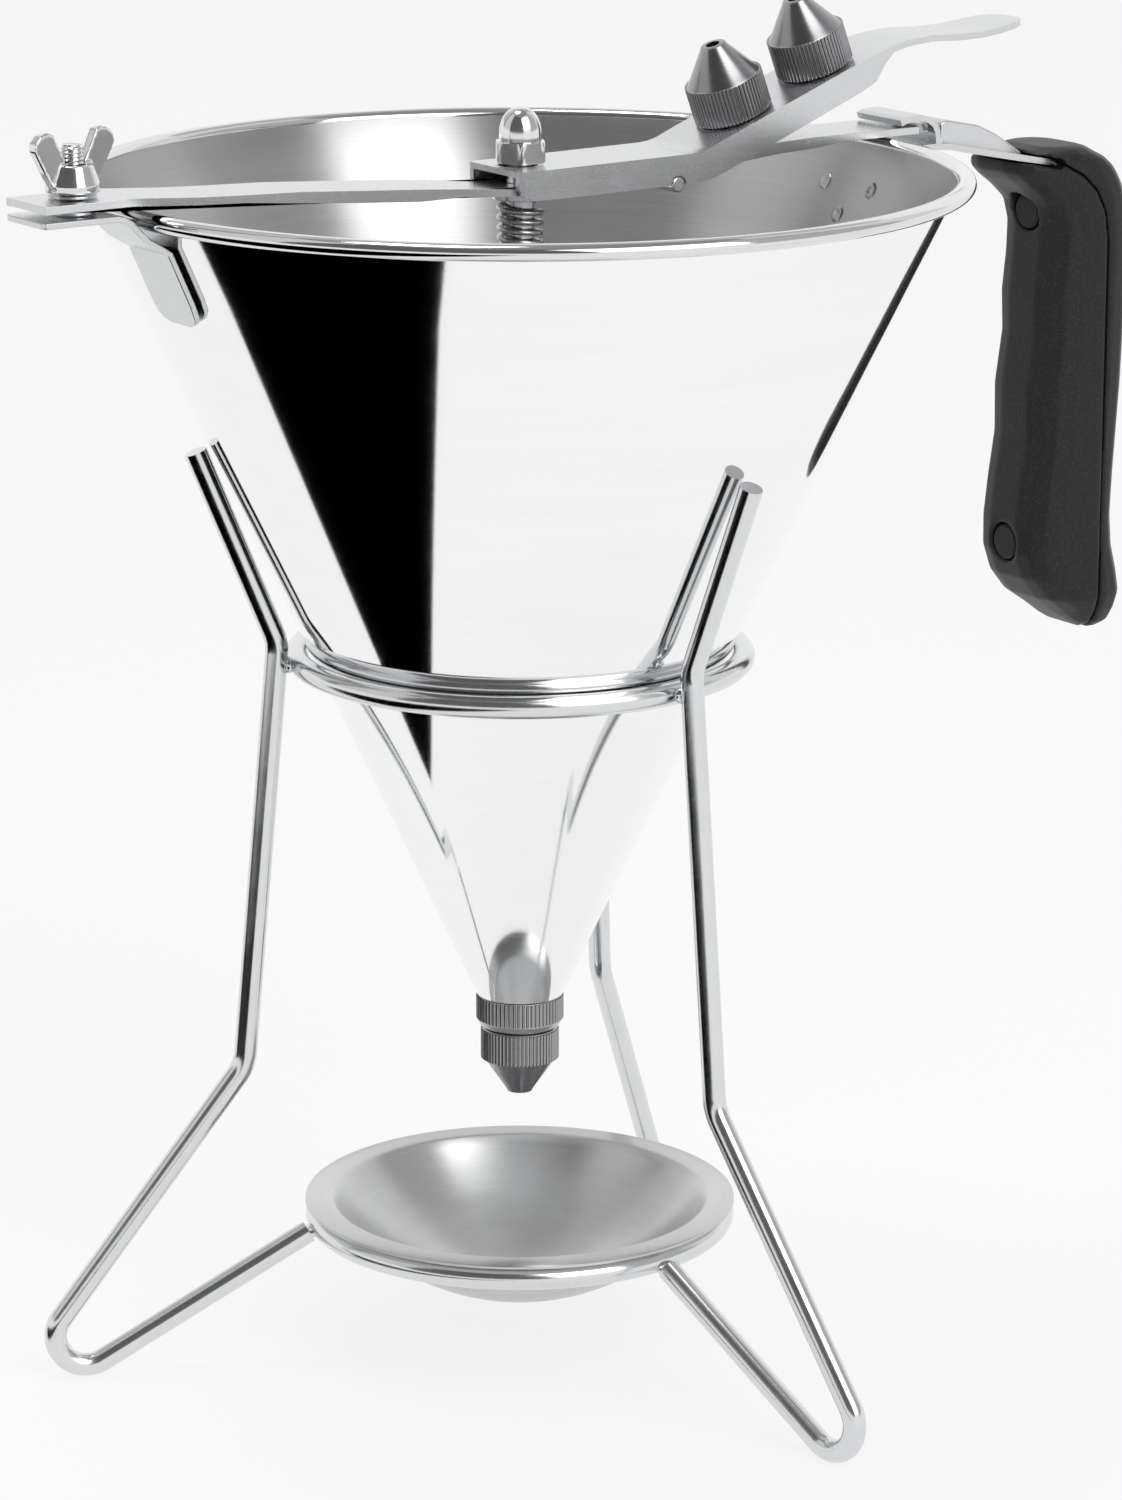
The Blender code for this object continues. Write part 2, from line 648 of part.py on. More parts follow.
# Handle bracket: welded foot, strap, hook with its window, and the rib
strap_low = rim_height - handle_top - handle_height + strap_short
strap_line = [(strap_start + out * (strap_reach - strap_start), rim_height - fall * strap_fall)
              for out, fall in strap_shares]
foot = foot_line(strap_sheet, 1)
foot.reverse()
join = [(bead_radius - strap_sheet * 0.85, rim_height - strap_sheet * 3.1),
        (bead_radius + strap_sheet * 1.3, rim_height - strap_sheet * 2.1)]
strap_stations = []
for (x, z), width in zip(foot, (0.5, 0.75, 0.93, 1.0, 1.0, 1.0)):
    strap_stations.append((x, z, strap_half * width))
for x, z in join + strap_line + [(strap_reach, strap_low)]:
    strap_stations.append((x, z, strap_half))
strap = strip("handle_bracket", [(*item, strap_sheet) for item in strap_stations], strap_sheet,
              strap_sheet / 2, STEEL)
hook_line = [(hook_reach - inward * hook_depth, rim_height + up * hook_height - strap_sheet / 2)
             for inward, up in hook_shares]
hook = strip("hook_form", [(x, z, strap_half, strap_sheet) for x, z in hook_line], strap_sheet,
             strap_sheet / 2, STEEL)
rib_line = ((rib_start, rim_height - strap_sheet), (rib_start, rim_height + rib_height * 0.85),
            (rib_start + rib_height * 0.5, rim_height + rib_height),
            (rib_start + rib_height * 2.9, rim_height + rib_height * 0.5),
            (rib_end - rib_height * 2, rim_height - rib_height * 0.15),
            (rib_end, rim_height - rib_height * 1.45), (rib_end, rim_height - rib_height * 1.72),
            (rib_start + rib_height * 2, rim_height - rib_height * 0.8))
rib = slab("rib_form", rib_line, rib_half, STEEL)
soften = rib.modifiers.new("soften", "BEVEL")
soften.width = rib_half / 3
soften.segments = 2
soften.limit_method = "ANGLE"
combine(strap, hook, "UNION")
combine(strap, rib, "UNION")
window_high = bar_end + window_play
window_low = bar_end - bar_sheet - bar_least_turn - window_play
window = slab("window_cut", ((hook_reach - strap_sheet * 2, window_low),
                             (rib_start - seat_gap, window_low),
                             (rib_start - seat_gap, window_high),
                             (hook_reach - strap_sheet * 2, window_high)),
              window_half, STEEL)
combine(strap, window, "DIFFERENCE")


# Handle halves on both sides of the strap
def handle_row(share):
    """Front and back of the handle at a share of its height."""
    for (high, front, back, _), (low, front_next, back_next, _) in zip(handle_shares, handle_shares[1:]):
        if share <= low:
            part = (share - high) / (low - high)
            return (handle_back - handle_depth * (front + part * (front_next - front)),
                    handle_back - handle_depth * (back + part * (back_next - back)))
    return handle_back, handle_back


def handle_solid(name):
    sections = []
    for share, front, back, width in handle_shares:
        level = rim_height - handle_top - share * handle_height
        sections.append(rounded(handle_back - handle_depth * front, handle_back - handle_depth * back,
                                handle_half * width, handle_corner, level))
    return loft(name, sections, BLACK)


grip = handle_solid("handle_grip")
spine = handle_solid("handle_spine")
seam = strap_line[2:] + [(strap_reach, rim_height - handle_height - handle_depth)]
far_x = handle_back + handle_depth
far_z = seam[-1][1]
near_x = rim_radius
cut_half = handle_half * 2


def shifted(line_points, distance):
    """The same line moved sideways, up or rearward for a positive distance."""
    moved = []
    for index, (x, z) in enumerate(line_points):
        before = line_points[max(index - 1, 0)]
        after = line_points[min(index + 1, len(line_points) - 1)]
        run = Vector((after[0] - before[0], after[1] - before[1])).normalized()
        moved.append((x - run.y * distance, z + run.x * distance))
    return moved


behind = slab("behind_seam_cut", shifted(seam, -seat_gap / 2) + [
    (far_x, far_z), (far_x, rim_height + handle_depth), (near_x, rim_height + handle_depth)],
    cut_half, BLACK)
ahead = slab("ahead_of_seam_cut", shifted(seam, seat_gap / 2) + [(near_x, far_z)], cut_half, BLACK)
pocket_sheet = strap_sheet + seat_gap * 2
pocket_line = strap_line[4:] + [(strap_reach, strap_low - overrun)]
pocket = strip("strap_pocket_cut", [(x, z, strap_half + seat_gap, pocket_sheet) for x, z in pocket_line],
               pocket_sheet, pocket_sheet / 2, BLACK)
slot_line = [item for (out, fall), item in zip(strap_shares[4:], strap_line[4:]) if out < slot_share]
slot_sheet = pocket_sheet + slot_play * 2
slot = strip("open_slot_cut", [(x, z, cut_half, slot_sheet) for x, z in slot_line], slot_sheet,
             slot_sheet / 2, BLACK)
rib_room = slab("rib_room_cut", ((rib_start, rim_height - rib_height * 2),
                                 (rib_start, rim_height + rib_height * 2),
                                 (rib_end + seat_gap, rim_height + rib_height * 2),
                                 (rib_end + seat_gap, rim_height - rib_height * 2)),
                rib_half + seat_gap, BLACK)
combine(grip, behind, "DIFFERENCE")
combine(spine, ahead, "DIFFERENCE")
for half_handle in (grip, spine):
    combine(half_handle, pocket, "DIFFERENCE")
    combine(half_handle, slot, "DIFFERENCE")
combine(spine, rib_room, "DIFFERENCE")
floor_x = strap_reach - screw_floor
for label, share in zip(("upper", "lower"), screw_shares):
    level = rim_height - handle_top - handle_height * share
    front = handle_row(share)[0] + plug_cover_recess
    head_end = floor_x - seat_gap
    head_start = head_end - screw_head_height
    screw_end = strap_reach + screw_bite
    cover = cylinder("handle_plug_" + label, plug_cover_radius, (front, 0, level),
                     (head_start - seat_gap, 0, level), RUBBER)
    place(cover, (front, 0, level))
    screw = turned("handle_screw_" + label, (
        (0, 0), (screw_head_radius, 0), (screw_head_radius, screw_head_height),
        (screw_radius, screw_head_height), (screw_radius, screw_end - head_start),
        (0, screw_end - head_start)), STEEL, fine_count)
    screw.rotation_euler = (0, math.pi / 2, 0)
    screw.location = (head_start, 0, level)
    well = cylinder("screw_well_cut_" + label, plug_cover_radius + seat_gap, (rim_radius, 0, level),
                    (floor_x, 0, level), BLACK)
    bore = cylinder("screw_bore_cut_" + label, screw_radius + seat_gap, (rim_radius, 0, level),
                    (screw_end + seat_gap, 0, level), BLACK)
    combine(grip, well, "DIFFERENCE")
    combine(grip, bore, "DIFFERENCE")
    combine(spine, bore, "DIFFERENCE")
    combine(strap, bore, "DIFFERENCE")


# Wire stand
wire_corner = wire / math.cos(math.pi / 8)


def wire_section():
    return [(wire_corner * math.cos(math.pi / 8 + math.pi / 4 * index),
             wire_corner * math.sin(math.pi / 8 + math.pi / 4 * index)) for index in range(8)]


def ring(name, radius, height, look):
    return turned(name, [(radius + a, height + b) for a, b in wire_section()], look)


def swept(name, path, turn, look):
    """Sweep the wire along a path of (radius, height) in an upright plane through the axis."""
    form = bmesh.new()
    rows = []
    for index, (x, z) in enumerate(path):
        before = path[max(index - 1, 0)]
        after = path[min(index + 1, len(path) - 1)]
        run = Vector((after[0] - before[0], 0, after[1] - before[1])).normalized()
        normal = Vector((-run.z, 0, run.x))
        rows.append([form.verts.new(Vector((x, b, z)) + normal * a) for a, b in wire_section()])
    for here, there in zip(rows, rows[1:]):
        for side in range(len(here)):
            after = (side + 1) % len(here)
            form.faces.new((here[side], here[after], there[after], there[side]))
    form.faces.new(rows[0])
    form.faces.new(rows[-1])
    body = add_object(name, form, look)
    body.rotation_euler = (0, 0, math.radians(turn))
    return body


def bend(before, corner, after, radius, steps=4):
    """Round the corner between two straight runs."""
    corner = Vector(corner)
    to_before = (Vector(before) - corner).normalized()
    to_after = (Vector(after) - corner).normalized()
    half = to_before.angle(to_after) / 2
    middle = corner + (to_before + to_after).normalized() * (radius / math.sin(half))
    start = corner + to_before * (radius / math.tan(half)) - middle
    finish = corner + to_after * (radius / math.tan(half)) - middle
    points = []
    for step in range(steps + 1):
        spoke = start.lerp(finish, step / steps).normalized() * radius
        points.append(tuple(middle + spoke))
    return points


half_angle = math.atan(wall_slope)
ring_radius = wall_radius(ring_height) + (wire_corner + seat_gap) / math.cos(half_angle)
upper_ring = ring("stand_upper_ring", ring_radius, ring_height, STEEL)
lower_ring = ring("stand_lower_ring", dish_ring_radius, dish_ring_height, STEEL)
foot_height = (foot_bend + wire) * math.cos(math.radians(10))
tip = (wall_radius(leg_tip_height) + (wire_corner + seat_gap) / math.cos(half_angle), leg_tip_height)
waist = (ring_radius + 2 * wire + seat_gap - leg_waist_rise / 12, ring_height + leg_waist_rise)
knee = (leg_knee_radius, leg_knee_height)
foot_centre = Vector((foot_reach, foot_height))


def tangent(point, side):
    """Direction, in degrees, in which a line from a point touches the foot's bend."""
    away = Vector(point) - foot_centre
    spread = math.acos(foot_bend / away.length)
    return math.degrees(math.atan2(away.y, away.x) + side * spread)


def on_foot(degrees):
    turn = math.radians(degrees)
    return (foot_centre.x + foot_bend * math.cos(turn), foot_centre.y + foot_bend * math.sin(turn))


outer = tangent(knee, -1)
ring_spot = Vector((dish_ring_radius, dish_ring_height))
inner = tangent(ring_spot, 1) - 360
strut_start = Vector(on_foot(inner))
strut_run = (ring_spot - strut_start).normalized()
strut_end = ring_spot - strut_run * (wire_corner + seat_gap)
leg_path = [tip] + bend(tip, waist, knee, leg_waist_bend)
leg_path += bend(waist, knee, on_foot(outer), leg_knee_bend)
leg_path.append(on_foot(outer))
leg_path += [on_foot(degrees) for degrees in range(20, -120, -20) if inner + 5 < degrees < outer - 5]
leg_path += [tuple(strut_start), tuple(strut_end)]
for count, turn in enumerate(leg_turns):
    swept("stand_leg_" + "abc"[count], leg_path, turn, STEEL)

# Drip dish
flange_low = dish_ring_height + wire + seat_gap
flange_top = flange_low + dish_sheet
bowl_outer = dish_ring_radius - wire - seat_gap
bowl_inner = bowl_outer - dish_sheet
floor_top = dish_bottom + dish_sheet
dish_profile = [(dish_flange_radius, flange_low), (dish_flange_radius, flange_top),
                (bowl_outer, flange_top)]
for across, depth in dish_shares:
    dish_profile.append((across * bowl_inner, floor_top + depth * (flange_top - floor_top)))
dish_profile += [(0, floor_top), (0, dish_bottom)]
for across, depth in reversed(dish_shares):
    dish_profile.append((across * bowl_outer, dish_bottom + depth * (flange_low - dish_bottom)))
dish_profile[-1] = (bowl_outer, flange_low)
turned("drip_dish", dish_profile, BRUSHED)

# Move the model so that its origin lies at the bottom centre of its box
bpy.context.view_layer.update()
depsgraph = bpy.context.evaluated_depsgraph_get()
low = Vector((1, 1, 1))
high = -low
for body in bpy.context.scene.objects:
    if body.hide_render or body.type == "EMPTY":
        continue
    shown = body.evaluated_get(depsgraph)
    for vert in shown.to_mesh().vertices:
        point = body.matrix_world @ vert.co
        low = Vector(map(min, low, point))
        high = Vector(map(max, high, point))
    shown.to_mesh_clear()
shift = Vector((-(low.x + high.x) / 2, -(low.y + high.y) / 2, -low.z))
for body in bpy.context.scene.objects:
    if body.parent is None:
        body.location = body.location + shift
print("shift", tuple(round(value, 6) for value in shift))
print("size", tuple(round(value, 5) for value in high - low))
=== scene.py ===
# %% [markdown]
# # Dispensing funnel in its wire stand
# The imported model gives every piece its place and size, so this lesson starts by loading it.
# All the round pieces share one upright axis, the funnel's, which is the middle of the stand's
# upper ring. Every measurement below is taken from that axis and is in metres.

# %% Load the frame and find the funnel's axis
import json
import math

import bmesh
import bpy
from mathutils import Matrix, Vector


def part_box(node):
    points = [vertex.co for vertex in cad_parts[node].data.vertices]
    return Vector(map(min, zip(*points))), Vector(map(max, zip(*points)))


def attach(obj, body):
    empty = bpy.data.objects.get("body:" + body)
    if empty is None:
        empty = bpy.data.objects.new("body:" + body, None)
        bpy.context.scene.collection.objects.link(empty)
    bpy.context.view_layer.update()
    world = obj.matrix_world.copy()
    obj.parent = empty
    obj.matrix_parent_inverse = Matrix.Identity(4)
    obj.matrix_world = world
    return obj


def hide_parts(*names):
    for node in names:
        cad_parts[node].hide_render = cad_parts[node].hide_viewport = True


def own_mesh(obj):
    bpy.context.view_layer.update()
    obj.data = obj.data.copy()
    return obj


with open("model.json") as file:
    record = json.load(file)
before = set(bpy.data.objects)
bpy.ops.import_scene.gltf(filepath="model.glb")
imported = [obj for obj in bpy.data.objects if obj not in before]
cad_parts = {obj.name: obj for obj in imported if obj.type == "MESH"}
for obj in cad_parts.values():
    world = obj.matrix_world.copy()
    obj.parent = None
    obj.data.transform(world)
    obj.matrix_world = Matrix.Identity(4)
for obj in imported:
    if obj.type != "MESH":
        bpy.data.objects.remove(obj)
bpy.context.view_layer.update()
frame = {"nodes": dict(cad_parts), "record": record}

low, high = map(Vector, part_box("stand_upper_ring"))
axis_x, axis_y = (low.x + high.x) / 2, (low.y + high.y) / 2
bodies = frame["record"]["behaviour"]["bodies"]
body_of = {node: body for body, nodes in bodies.items() for node in nodes}
print("funnel axis at", round(axis_x, 5), round(axis_y, 5))

# %% [markdown]
# ## Shader maths as plain expressions
# A material is a small sum: a colour, plus a little noise, times a mask. Wiring each Math node by
# hand hides that sum, so one class wraps a socket and turns Python's operators into nodes.

# %% A socket that can be added, multiplied and compared
class Wire:
    def __init__(self, tree, socket):
        self.tree, self.socket = tree, socket

    def node(self, kind, inputs=(), out=0, **settings):
        made = self.tree.nodes.new(kind)
        for key, value in settings.items():
            setattr(made, key, value)
        for where, value in dict(inputs).items():
            if isinstance(value, Wire):
                self.tree.links.new(value.socket, made.inputs[where])
            else:
                made.inputs[where].default_value = value
        return Wire(self.tree, made.outputs[out])

    def math(self, operation, other):
        return self.node("ShaderNodeMath", {0: self, 1: other}, operation=operation)

    def __add__(self, other): return self.math("ADD", other)
    def __radd__(self, other): return self.math("ADD", other)
    def __sub__(self, other): return self.math("SUBTRACT", other)
    def __rsub__(self, other): return (self * -1.0) + other
    def __mul__(self, other): return self.math("MULTIPLY", other)
    def __rmul__(self, other): return self.math("MULTIPLY", other)
    def power(self, other): return self.math("POWER", other)

    def smooth(self, low, high):
        return self.node("ShaderNodeMapRange", {0: self, 1: low, 2: high},
                         interpolation_type="SMOOTHSTEP")

    def noise(self, scale, detail, rough):
        return self.node("ShaderNodeTexNoise", {"Vector": self, "Scale": scale, "Detail": detail,
                                                "Roughness": rough})

    def blend(self, first, second):
        return self.node("ShaderNodeMix", {0: self, 6: (*first, 1), 7: (*second, 1)}, out=2,
                         data_type="RGBA")


def join_xyz(x, y, z):
    some = next(item for item in (x, y, z) if isinstance(item, Wire))
    return some.node("ShaderNodeCombineXYZ", {0: x, 1: y, 2: z})


# %% [markdown]
# ## A finish is a colour, a grain and a polish
# Every finish here starts from the same shader. Only the colour, the roughness and the bump change
# over a surface, and whatever is the same all over is set on the shader itself.

# %% Start a finish
def start_finish(name, metal, rough):
    look = bpy.data.materials.new(name)
    look.use_nodes = True
    tree = look.node_tree
    shader = tree.nodes["Principled BSDF"]
    shader.inputs["Metallic"].default_value = metal
    shader.inputs["Roughness"].default_value = rough
    place = Wire(tree, tree.nodes.new("ShaderNodeTexCoord").outputs["Object"])
    return look, shader, place


def plug(shader, socket, wire):
    wire.tree.links.new(wire.socket, shader.inputs[socket])


def bump(shader, height, strength, depth):
    plug(shader, "Normal", height.node("ShaderNodeBump", {"Height": height, "Strength": strength,
                                                          "Distance": depth}))


# %% [markdown]
# ## Steel spun on a lathe
# The cone and the dish are spun and polished while they turn, so their grain runs around the axis.
# Noise is read at (angle, slant): long steps around and very short steps up the wall give fine
# rings. A second, wider noise leaves the soft bands that a polishing wheel makes.

# %% Steel with its grain around an axis
def spun_steel(name, bright, rough, centre, depth, brushed=0.0, vary=0.10, dull=0.84):
    ring_grain, spoke_grain = 2600.0, 2.2
    look, shader, place = start_finish(name, 1.0, rough)
    shader.inputs["Anisotropic"].default_value = brushed
    shader.inputs["Anisotropic Rotation"].default_value = 0.25
    split = place.node("ShaderNodeSeparateXYZ", {0: place})
    parts = split.socket.node.outputs
    x = Wire(split.tree, parts[0]) - centre[0]
    y = Wire(split.tree, parts[1]) - centre[1]
    z = Wire(split.tree, parts[2])
    angle = y.math("ARCTAN2", x)
    reach = (x * x + y * y).power(0.5)
    along = (reach + z) * ring_grain
    around = angle * spoke_grain
    fine = join_xyz(along, around, z * 3.0).noise(1.0, 4.0, 0.6)
    wide = join_xyz(along * 0.035, around * 0.5, 0.0).noise(1.0, 2.0, 0.5)
    tone = (fine * 0.55 + wide * 0.45).smooth(0.25, 0.75)
    plug(shader, "Base Color", tone.blend([c * dull for c in bright], bright))
    plug(shader, "Roughness", fine * vary + wide * vary * 0.6 + (rough - vary * 0.8))
    bump(shader, fine, 0.25, depth)
    return look


# %% [markdown]
# ## Flat sheet, wire and turned parts
# The bar, lever and brackets are cut from cold rolled sheet that was tumbled: a faint lengthwise
# grain, cloudy roughness and a few light scuffs. Wire is drawn, so it is the same with less grain.

# %% Steel with a straight grain
def sheet_steel(name, bright, rough, stretch=(60.0, 900.0, 900.0), scuffs=0.05, depth=0.000015):
    look, shader, place = start_finish(name, 1.0, rough)
    mapped = place.node("ShaderNodeMapping", {0: place, "Scale": stretch})
    grain = mapped.noise(1.0, 4.0, 0.6)
    cloud = place.noise(95.0, 3.0, 0.6)
    scuff = place.noise(420.0, 2.0, 0.75).smooth(0.62, 0.72)
    shade = [c * 0.84 for c in bright]
    plug(shader, "Base Color", (grain * 0.5 + cloud * 0.5).blend(shade, bright))
    plug(shader, "Roughness", grain * 0.08 + cloud * 0.12 + scuff * scuffs + (rough - 0.1))
    bump(shader, grain * 0.6 + cloud * 0.4, 0.2, depth)
    return look


# %% [markdown]
# ## Moulded handle and rubber
# The handle is black plastic with a fine spark-eroded texture. Its small pits break up the gloss,
# so the plastic looks dark grey where light grazes it. The plugs and seals are plain matt rubber.

# %% Plastic with a fine moulded texture
def moulded(name, dark, rough, pits=1500.0, depth=0.00010, speck=0.012):
    look, shader, place = start_finish(name, 0.0, rough)
    shader.inputs["Specular IOR Level"].default_value = 0.28
    fine = place.noise(pits, 2.0, 0.5)
    cloud = place.noise(60.0, 3.0, 0.55)
    light = [c + speck for c in dark]
    plug(shader, "Base Color", fine.smooth(0.45, 0.75).blend(dark, light))
    plug(shader, "Roughness", fine * 0.16 + cloud * 0.08 + (rough - 0.12))
    bump(shader, fine, 0.5, depth)
    return look


# %% [markdown]
# ## Every finish once
# The whole object needs only a dozen finishes. They are made in one table, and every node of the
# frame is given its own, so a piece that isn't remade below has the right look too.

# %% All the finishes of this object
centre = (axis_x, axis_y)
finishes = {
    "cone_spun": spun_steel("cone_spun_steel", (0.93, 0.935, 0.94), 0.06, centre, 0.000004,
                            vary=0.04, dull=0.97),
    "cone_inside": spun_steel("cone_inside_brushed", (0.60, 0.60, 0.605), 0.34, centre, 0.00003,
                              brushed=0.8),
    "bead": spun_steel("bead_polished", (0.82, 0.825, 0.83), 0.08, centre, 0.000004, vary=0.05),
    "dish": spun_steel("dish_brushed", (0.66, 0.665, 0.67), 0.32, centre, 0.00003, brushed=0.8),
    "sheet": sheet_steel("tumbled_sheet_steel", (0.74, 0.75, 0.76), 0.27),
    "wire": sheet_steel("drawn_wire_steel", (0.78, 0.79, 0.80), 0.18, (500.0, 500.0, 70.0), 0.03),
    "turned": sheet_steel("turned_steel", (0.56, 0.56, 0.57), 0.30, (500.0, 500.0, 2400.0), 0.04),
    "cone_tip": sheet_steel("nozzle_cone_steel", (0.36, 0.36, 0.37), 0.24,
                            (260.0, 260.0, 1800.0), 0.03),
    "polished": sheet_steel("polished_steel", (0.82, 0.82, 0.83), 0.13,
                            (300.0, 300.0, 300.0), 0.02),
    "spring": sheet_steel("spring_steel", (0.55, 0.55, 0.56), 0.28, (700.0, 700.0, 700.0), 0.02),
    "handle": moulded("handle_black_plastic", (0.012, 0.012, 0.013), 0.42),
    "rubber": moulded("matt_black_rubber", (0.02, 0.02, 0.021), 0.6, 900.0, 0.00004, 0.01),
}
node_finish = {"funnel_cone": "cone_spun", "drip_dish": "dish", "handle_grip": "handle",
               "handle_spine": "handle", "return_spring": "spring", "valve_rod": "wire"}
for node in ("cap_nut", "wing_nut", "fulcrum_pin"):
    node_finish[node] = "polished"
for node in ("handle_plug_upper", "handle_plug_lower", "nozzle_seal", "valve_plug"):
    node_finish[node] = "rubber"
for node in ("outlet_collar", "dispensing_nozzle", "spare_nozzle_a", "spare_nozzle_b"):
    node_finish[node] = "turned"
for node, body in frame["nodes"].items():
    usual = "wire" if node.startswith("stand") else "sheet"
    body.data.materials.clear()
    body.data.materials.append(finishes[node_finish.get(node, usual)])
print(len(finishes), "finishes on", len(frame["nodes"]), "pieces")

# %% [markdown]
# ## How a finished piece joins the object
# Each new piece takes the place of one node of the frame: it hides that node and moves with the
# same body. One helper keeps the two calls together.

# %% Put a piece in place of a node
def new_piece(name, mesh, finish_names):
    if mesh.materials:
        mesh.materials.clear()
    for finish in finish_names:
        mesh.materials.append(finishes[finish])
    piece = bpy.data.objects.new(name, mesh)
    bpy.context.scene.collection.objects.link(piece)
    return piece


def stands_for(piece, node, hide=True):
    if hide:
        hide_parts(node)
    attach(piece, body_of[node])
    return piece


def smooth(mesh, degrees=35):
    mesh.shade_smooth()
    mesh.set_sharp_from_angle(angle=math.radians(degrees))
    return mesh


# %% [markdown]
# ## Turning a profile
# A lathe part is its profile spun round. The profile here is a closed loop of (radius, height)
# points with a finish number on each, so one spin can carry the polished outside and the brushed
# inside of the cone. A radius of zero becomes a single vertex, so the pole is closed.

# %% Turn a closed profile
def mesh_of(form, name):
    mesh = bpy.data.meshes.new(name)
    form.to_mesh(mesh)
    form.free()
    return mesh


def turned_mesh(name, profile, count, matrix=Matrix()):
    form = bmesh.new()
    rows = []
    for radius, height, *_ in profile:
        if radius == 0:
            rows.append([form.verts.new((0, 0, height))] * count)
        else:
            rows.append([form.verts.new((radius * math.cos(math.tau * i / count),
                                         radius * math.sin(math.tau * i / count), height))
                         for i in range(count)])
    for row, (here, there) in enumerate(zip(rows, rows[1:] + rows[:1])):
        for i in range(count):
            j = (i + 1) % count
            corners = list(dict.fromkeys((here[i], here[j], there[j], there[i])))
            if len(corners) > 2:
                face = form.faces.new(corners)
                face.material_index = profile[row][2] if len(profile[row]) > 2 else 0
    bmesh.ops.recalc_face_normals(form, faces=form.faces)
    form.transform(matrix)
    return smooth(mesh_of(form, name))


def at_axis(x=0.0, y=0.0, z=0.0):
    return Matrix.Translation((axis_x + x, axis_y + y, z))


def round_axis(radius, angle, height):
    return axis_x + radius * math.cos(angle), axis_y + radius * math.sin(angle), height


# %% [markdown]
# ## The cone and its rolled bead
# The sheet is 0.8 mm thick and its edge is rolled over into a solid-looking bead. The outside is
# polished like a mirror, the inside keeps the brushing, and the bead is polished again on top.

# %% Spin the cone
rim_height, rim_radius, wall_slope, wall = 0.2574, 0.0915, 0.4638, 0.0008
cone_length, roll_start, wall_rows = 0.1772, 0.0016, 12
bead_out, bead_across, bead_high = 0.0013, 0.0022, 0.0018
wall_across = wall / math.cos(math.atan(wall_slope))
cone_end, roll_height = rim_height - cone_length, rim_height - roll_start


def wall_radius(height):
    return rim_radius - wall_slope * (rim_height - height)


def wall_line(start, end, finish):
    """Points at equal steps along the wall, each with its finish number."""
    return [(start[0] + (end[0] - start[0]) * k / wall_rows,
             start[1] + (end[1] - start[1]) * k / wall_rows, finish) for k in range(wall_rows + 1)]


outside = wall_line((wall_radius(cone_end), cone_end), (wall_radius(roll_height), roll_height), 0)
bead = [(rim_radius + bead_out + bead_across * math.cos(math.radians(a)),
         rim_height + bead_high * math.sin(math.radians(a)), 2) for a in range(215, 536, 16)]
inside = wall_line((rim_radius - wall_across, rim_height),
                   (wall_radius(cone_end) - wall_across, cone_end), 1)
cone = new_piece("cone_shell", turned_mesh("cone_shell", outside + bead + inside, 240),
                 ("cone_spun", "cone_inside", "bead"))
cone.data.transform(at_axis())
stands_for(cone, "funnel_cone")
print("cone faces:", len(cone.data.polygons))

# %% [markdown]
# ## Spot welds
# The two brackets are spot welded to the cone. Each weld shows inside as a small round dent with a
# raised lip, so a shallow ring is laid on the wall where the photograph shows one.

# %% Lay the weld marks on the inner wall
weld_profile = [(0.0, 0.00010), (0.0007, 0.00008), (0.0011, 0.00030), (0.0015, 0.00028),
                (0.0019, 0.0), (0.0, 0.0)]
weld_spots = ((5.1, 0.009), (0.0, 0.015), (-5.8, 0.009),
              (186, 0.0092), (180, 0.015), (174, 0.0181))
weld_sink = 0.00002
welds = bmesh.new()
for turn, drop in weld_spots:
    height = rim_height - drop
    spoke = Matrix.Rotation(math.radians(turn), 4, "Z")
    lean = Matrix.Rotation(math.atan(wall_slope) - math.pi / 2, 4, "Y")
    spot = Matrix.Translation((wall_radius(height) - wall_across - weld_sink, 0, height))
    dot = turned_mesh("weld", weld_profile, 20, at_axis() @ spoke @ spot @ lean)
    welds.from_mesh(dot)
    bpy.data.meshes.remove(dot)
stands_for(new_piece("weld_marks", smooth(mesh_of(welds, "weld_marks")), ("cone_inside",)),
           "funnel_cone", hide=False)
print("weld marks:", len(weld_spots))

# %% [markdown]
# ## Wire bent round a path
# The stand is 5 mm wire. A path swept by a circle follows a rule, so Geometry Nodes make it: the
# path is a curve, and Curve to Mesh sweeps it. The tree's inputs carry the wire's radius.

